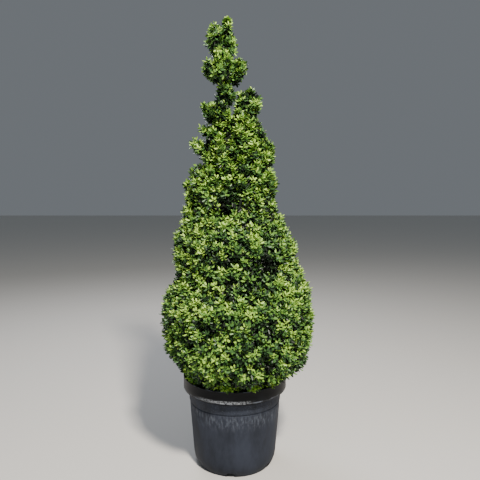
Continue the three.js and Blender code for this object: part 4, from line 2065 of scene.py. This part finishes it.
    def leaves(self, shoots: Shoots, rng: np.random.Generator) -> Copies:
        """Sets leaves in a spiral along the end of each shoot, with a rosette at its tip.

        Args:
            shoots: The shoots.
            rng: The mass's random numbers.

        Returns:
            The places of the leaves.
        """
        habit, leaf = shoots.habit, self.leaf
        order = np.arange(habit.leaves)
        below = (order + 0.5) / habit.leaves
        shape = (len(shoots.tip), habit.leaves)
        share = 1 - below**leaf.crowding * habit.leafy_length / habit.length
        at = np.clip(share + rng.normal(0, leaf.place_chance, shape), 0, 1)[..., None]
        root, bend, tip = (line[:, None] for line in (shoots.root, shoots.bend, shoots.tip))
        place = bezier(root, bend, tip, at)
        heading = unit((bend - root) * (1 - at) + (tip - bend) * at)
        first, second = beside(heading)
        turn = order * GOLDEN_ANGLE + rng.uniform(0, 2 * math.pi, (shape[0], 1))
        turn = (turn + rng.normal(0, leaf.turn_chance, shape))[..., None]
        aside = first * np.cos(turn) + second * np.sin(turn)
        lean = np.radians(leaf.upright + leaf.spread * below**leaf.spread_power)
        lean = (lean + rng.normal(0, leaf.lean_chance, shape))[..., None]
        ahead = heading * np.cos(lean) + aside * np.sin(lean)
        flat = heading * np.sin(lean) - aside * np.cos(lean)
        level = np.cross(flat, ahead)
        roll = rng.normal(0, leaf.roll_chance, shape)[..., None]
        facing = flat * np.cos(roll) + level * np.sin(roll)
        across = level * np.cos(roll) - flat * np.sin(roll)
        shortest, longest = habit.leaf_length
        length = shortest + (longest - shortest) * np.clip(below / leaf.grown_at, 0, 1)
        length = (length * rng.uniform(*leaf.length_chance, shape))[..., None]
        breadth = leaf.breadth * rng.uniform(*leaf.breadth_chance, shape)[..., None]
        age = np.digitize(below + rng.normal(0, leaf.age_chance, shape), leaf.age_steps) - 1
        tone = np.clip(shoots.tone[:, None] + 1 - age, Tone.OLD_AND_PAINTED_SHADE, Tone.FLUSH)
        axes = (place, ahead * length, across * length * breadth, facing * length)
        return Copies(*(axis.reshape(-1, 3) for axis in axes), tone.ravel())

    def shaded_leaves(self, space: Cell, layer: ShadedLayer, rng: np.random.Generator) -> Copies:
        """Sets older leaves behind the shoots, so that no light comes through the crown, in dark tones that
        are painted shade.

        Args:
            space: The mass's space.
            layer: How they stand.
            rng: The mass's random numbers.

        Returns:
            The places of the leaves.
        """
        count = int(space.area / layer.spacing**2)
        u, v = rng.uniform(-1, 1, (2, count))
        w = 1 - rng.uniform(*layer.depth, count) / space.half[2]
        root = space.to_world(u, v, w)
        ahead = unit(rng.normal(0, 1, (count, 3)) + UP * layer.lift)
        first, second = beside(ahead)
        length = rng.uniform(*layer.leaf, (count, 1))
        keep = ~in_gap(root)
        axes = (root, ahead * length, first * length * self.leaf.breadth, second * length)
        return Copies(*(axis[keep] for axis in axes), np.full(keep.sum(), layer.tone))

    def aim(self, spaces: Sequence[Space]) -> list[Aims]:
        """Chooses where the twigs of every mass go, evenly over the crown and over each tuft.

        Args:
            spaces: The spaces of the masses.

        Returns:
            The aims of each mass.
        """
        chosen = []
        for seed, space in enumerate(spaces, 1):
            chosen.append(space.aims(round(space.area / HABITS[space.part].spacing ** 2), seed))
        for band in BANDS:
            places = [index for index, space in enumerate(spaces) if space.part in band.tiers]
            ends = np.cumsum([len(chosen[index].point) for index in places])
            point = evened(np.concatenate([chosen[index].point for index in places]), band)
            for index, part in zip(places, np.split(point, ends[:-1])):
                chosen[index] = Aims(part, crown_outward(part), chosen[index].rise)
        return chosen

    def grow(self, space: Space, aims: Aims, seed: int) -> tuple[list[Twigs], list[Shoots]]:
        """Grows the twigs and shoots of one mass.

        Args:
            space: The mass's space.
            aims: Where its twigs go.
            seed: Its seed.

        Returns:
            Its twigs and its shoots.
        """
        rng = np.random.default_rng(seed)
        if space.part == "leader":
            twigs = [self.twigs(space, aims, rng.uniform(*TUFT_SPRAY.sunk, (len(aims.point), 1)))]
            return twigs, [self.spray(twigs[0], TUFT_SPRAY, rng)]
        if space.part == "shoulder":
            over = space.end_aims(self.shoulder_top_twigs, seed, 1)
            twigs = [self.risers(part, rng) for part in (aims, over)]
            return twigs, [self.spray(stems, SHOULDER_SPRAY, rng) for stems in twigs]
        domes = [(aims, CROWN_DOME)]
        if space.part == "skirt":
            domes.append((space.end_aims(self.underside_twigs, seed, -1), UNDERSIDE_DOME))
        twigs = [self.twigs(space, part, habit.short) for part, habit in domes]
        return twigs, [self.dome(part, habit, BUSHY_SHOOT, rng) for part, habit in domes]

    def build(self, spaces: Sequence[Space]) -> list[bpy.types.Object]:
        """Makes the leaves and twigs of all masses, joined by kind and tier.

        Args:
            spaces: The spaces of the masses.

        Returns:
            The finished pieces.
        """
        materials = [leaf.make() for leaf in LEAVES]
        shape = holly_leaf_shape()
        groups: dict[str, list[Copies]] = {}
        nodes: dict[str, list[str]] = {}
        all_twigs: list[Twigs] = []
        all_shoots: list[Shoots] = []
        for seed, (space, aims) in enumerate(zip(spaces, self.aim(spaces)), 1):
            twigs, shoots = self.grow(space, aims, seed)
            rng = np.random.default_rng(seed + self.leaf_seed)
            group = groups.setdefault(space.group, [])
            group.extend(self.leaves(part, rng) for part in shoots)
            if isinstance(space, Cell):
                group.extend(self.shaded_leaves(space, layer, rng) for layer in SHADED_LAYERS)
            nodes.setdefault(space.group, []).append(f"foliage_{space.name}")
            all_twigs += twigs
            all_shoots += shoots
        rng = np.random.default_rng(self.extra_seed)
        long = self.long_sprays()
        fullness = np.array([[spray.fullness] for spray in LONG_SPRAYS])
        extra = [self.spray(long, PLACED_SPRAY, rng, fullness), self.sprouts(rng)]
        groups["leader"].extend(self.leaves(part, rng) for part in extra)
        made = []
        for group, parts in groups.items():
            mesh = Copies.joined(parts).mesh(group, shape)
            made.append(piece(f"leaves_{group}", mesh, materials, nodes[group]))
        made.append(self.wood("twigs", [*all_twigs, long], self.twig_points, self.twig_radius, TWIG_SKIN))
        made.append(self.wood("shoots", all_shoots + extra, self.shoot_points, self.shoot_radius, SHOOT_SKIN))
        return made

    def long_sprays(self) -> Twigs:
        """Draws the stems of the sprays that stand out of the crown.

        Returns:
            Their curves.
        """
        root = np.array([trunk_point(spray.leaves_at) for spray in LONG_SPRAYS])
        tip = np.array([spray.tip for spray in LONG_SPRAYS], float)
        out, down = self.long_bend
        bend = (root + tip) / 2
        bend[:, :2] += (tip - root)[:, :2] * out
        bend[:, 2] -= (tip - root)[:, 2] * down
        return Twigs(root, bend, tip)

    def wood(
        self,
        name: str,
        parts: Sequence[Twigs],
        points: int,
        radius: Span,
        skin: GreenTwig,
    ) -> bpy.types.Object:
        """Joins twigs or shoots into a piece, but for those that end in a gap.

        Args:
            name: The piece's name.
            parts: The twigs or shoots.
            points: How many points each has.
            radius: Its radius at the root and at the tip.
            skin: Its finish.

        Returns:
            The new piece.
        """
        steps = np.linspace(0, 1, points)[:, None]
        curves = [curve for part in parts for curve in zip(part.root, part.bend, part.tip)]
        lines = [bezier(*curve, steps) for curve in curves if not in_gap(curve[-1])]
        radii = [np.linspace(*radius, points)] * len(lines)
        return piece(name, tubes(name, lines, radii, 0), [skin.make()], [])


# Studio


@dataclass(frozen=True)
class Lamp:
    """A square soft lamp: its place and size in metres, its power in watts and its colour."""

    name: str
    place: Place
    size: float
    watts: float
    colour: str


@dataclass
class Studio:
    """Pale floor, four soft lamps in a dim room, and the camera. Lengths are in metres."""

    floor_size: float = 60
    floor_colour: str = "#D9D7D2"
    floor_roughness: float = 0.9
    sky_colour: str = "#E3ECF5"
    sky_strength: float = 0.2
    lamps: tuple[Lamp, ...] = (
        Lamp("key", (1.0, -2.8, 4.3), 0.5, 420, "#FFF7EC"),
        Lamp("low", (0.5, -3, 0.4), 1.2, 4, "#FFF6E8"),
        Lamp("fill", (-2.6, -2.6, 2.2), 2.4, 12, "#E4EEFF"),
        Lamp("back", (-1.2, 2.6, 3.8), 1.6, 80, "#F4F6FF"),
    )
    lamps_face: Place = (0, 0, 1)
    focal_length: float = 36.08
    camera_place: Place = (0.025, -2.287, 1.287)
    camera_dip: float = 5.2
    camera_reach: float = 100

    def build(self) -> None:
        """Lays the floor, hangs the lamps, lights the room and sets the camera."""
        bm = bmesh.new()
        bmesh.ops.create_grid(bm, x_segments=1, y_segments=1, size=self.floor_size / 2)
        floor = placed("studio_floor", mesh_from(bm, "studio_floor"))
        material, tree, shader = new_material("painted_floor")
        plug(tree, shader, {"Base Color": linear(self.floor_colour), "Roughness": self.floor_roughness})
        floor.data.materials.append(material)
        for lamp in self.lamps:
            self.hang(lamp)
        world = bpy.data.worlds.new("studio_room")
        world.use_nodes = True
        room = world.node_tree.nodes["Background"]
        plug(world.node_tree, room, {"Color": linear(self.sky_colour), "Strength": self.sky_strength})
        bpy.context.scene.world = world
        self.camera()

    def hang(self, lamp: Lamp) -> None:
        """Hangs a lamp so that it faces the middle of the crown.

        Args:
            lamp: The lamp.
        """
        light = bpy.data.lights.new(lamp.name, "AREA")
        light.size = lamp.size
        light.energy = lamp.watts
        light.color = linear(lamp.colour)[:3]
        made = placed(lamp.name, light)
        made.location = lamp.place
        aim = Vector(self.lamps_face) - Vector(lamp.place)
        made.rotation_euler = aim.to_track_quat("-Z", "Y").to_euler()

    def camera(self) -> None:
        """Sets the camera where the photograph was taken from."""
        lens = bpy.data.cameras.new("camera")
        lens.lens = self.focal_length
        lens.clip_end = self.camera_reach
        camera = placed("camera", lens)
        camera.location = self.camera_place
        camera.rotation_euler = (math.radians(90 - self.camera_dip), 0, 0)
        bpy.context.scene.camera = camera


def corners(box: tuple[Vector, Vector]) -> list[list[float]]:
    """Gives a box's two corners as plain lists."""
    return [list(corner) for corner in box]


def main() -> None:
    """Builds the studio and the plant."""
    logging.basicConfig(level=logging.INFO, format="%(name)s: %(message)s")
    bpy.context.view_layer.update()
    Studio().build()
    pot = NurseryPot()
    pot.build()
    PottingMix(pot).build()
    spaces: list[Space] = [Cell(tier, index) for tier in TIERS for index in range(tier.count)]
    spaces += [Tuft(size) for size in TUFTS]
    Limbs().build(spaces)
    Foliage().build(spaces)


if __name__ == "__main__":
    main()
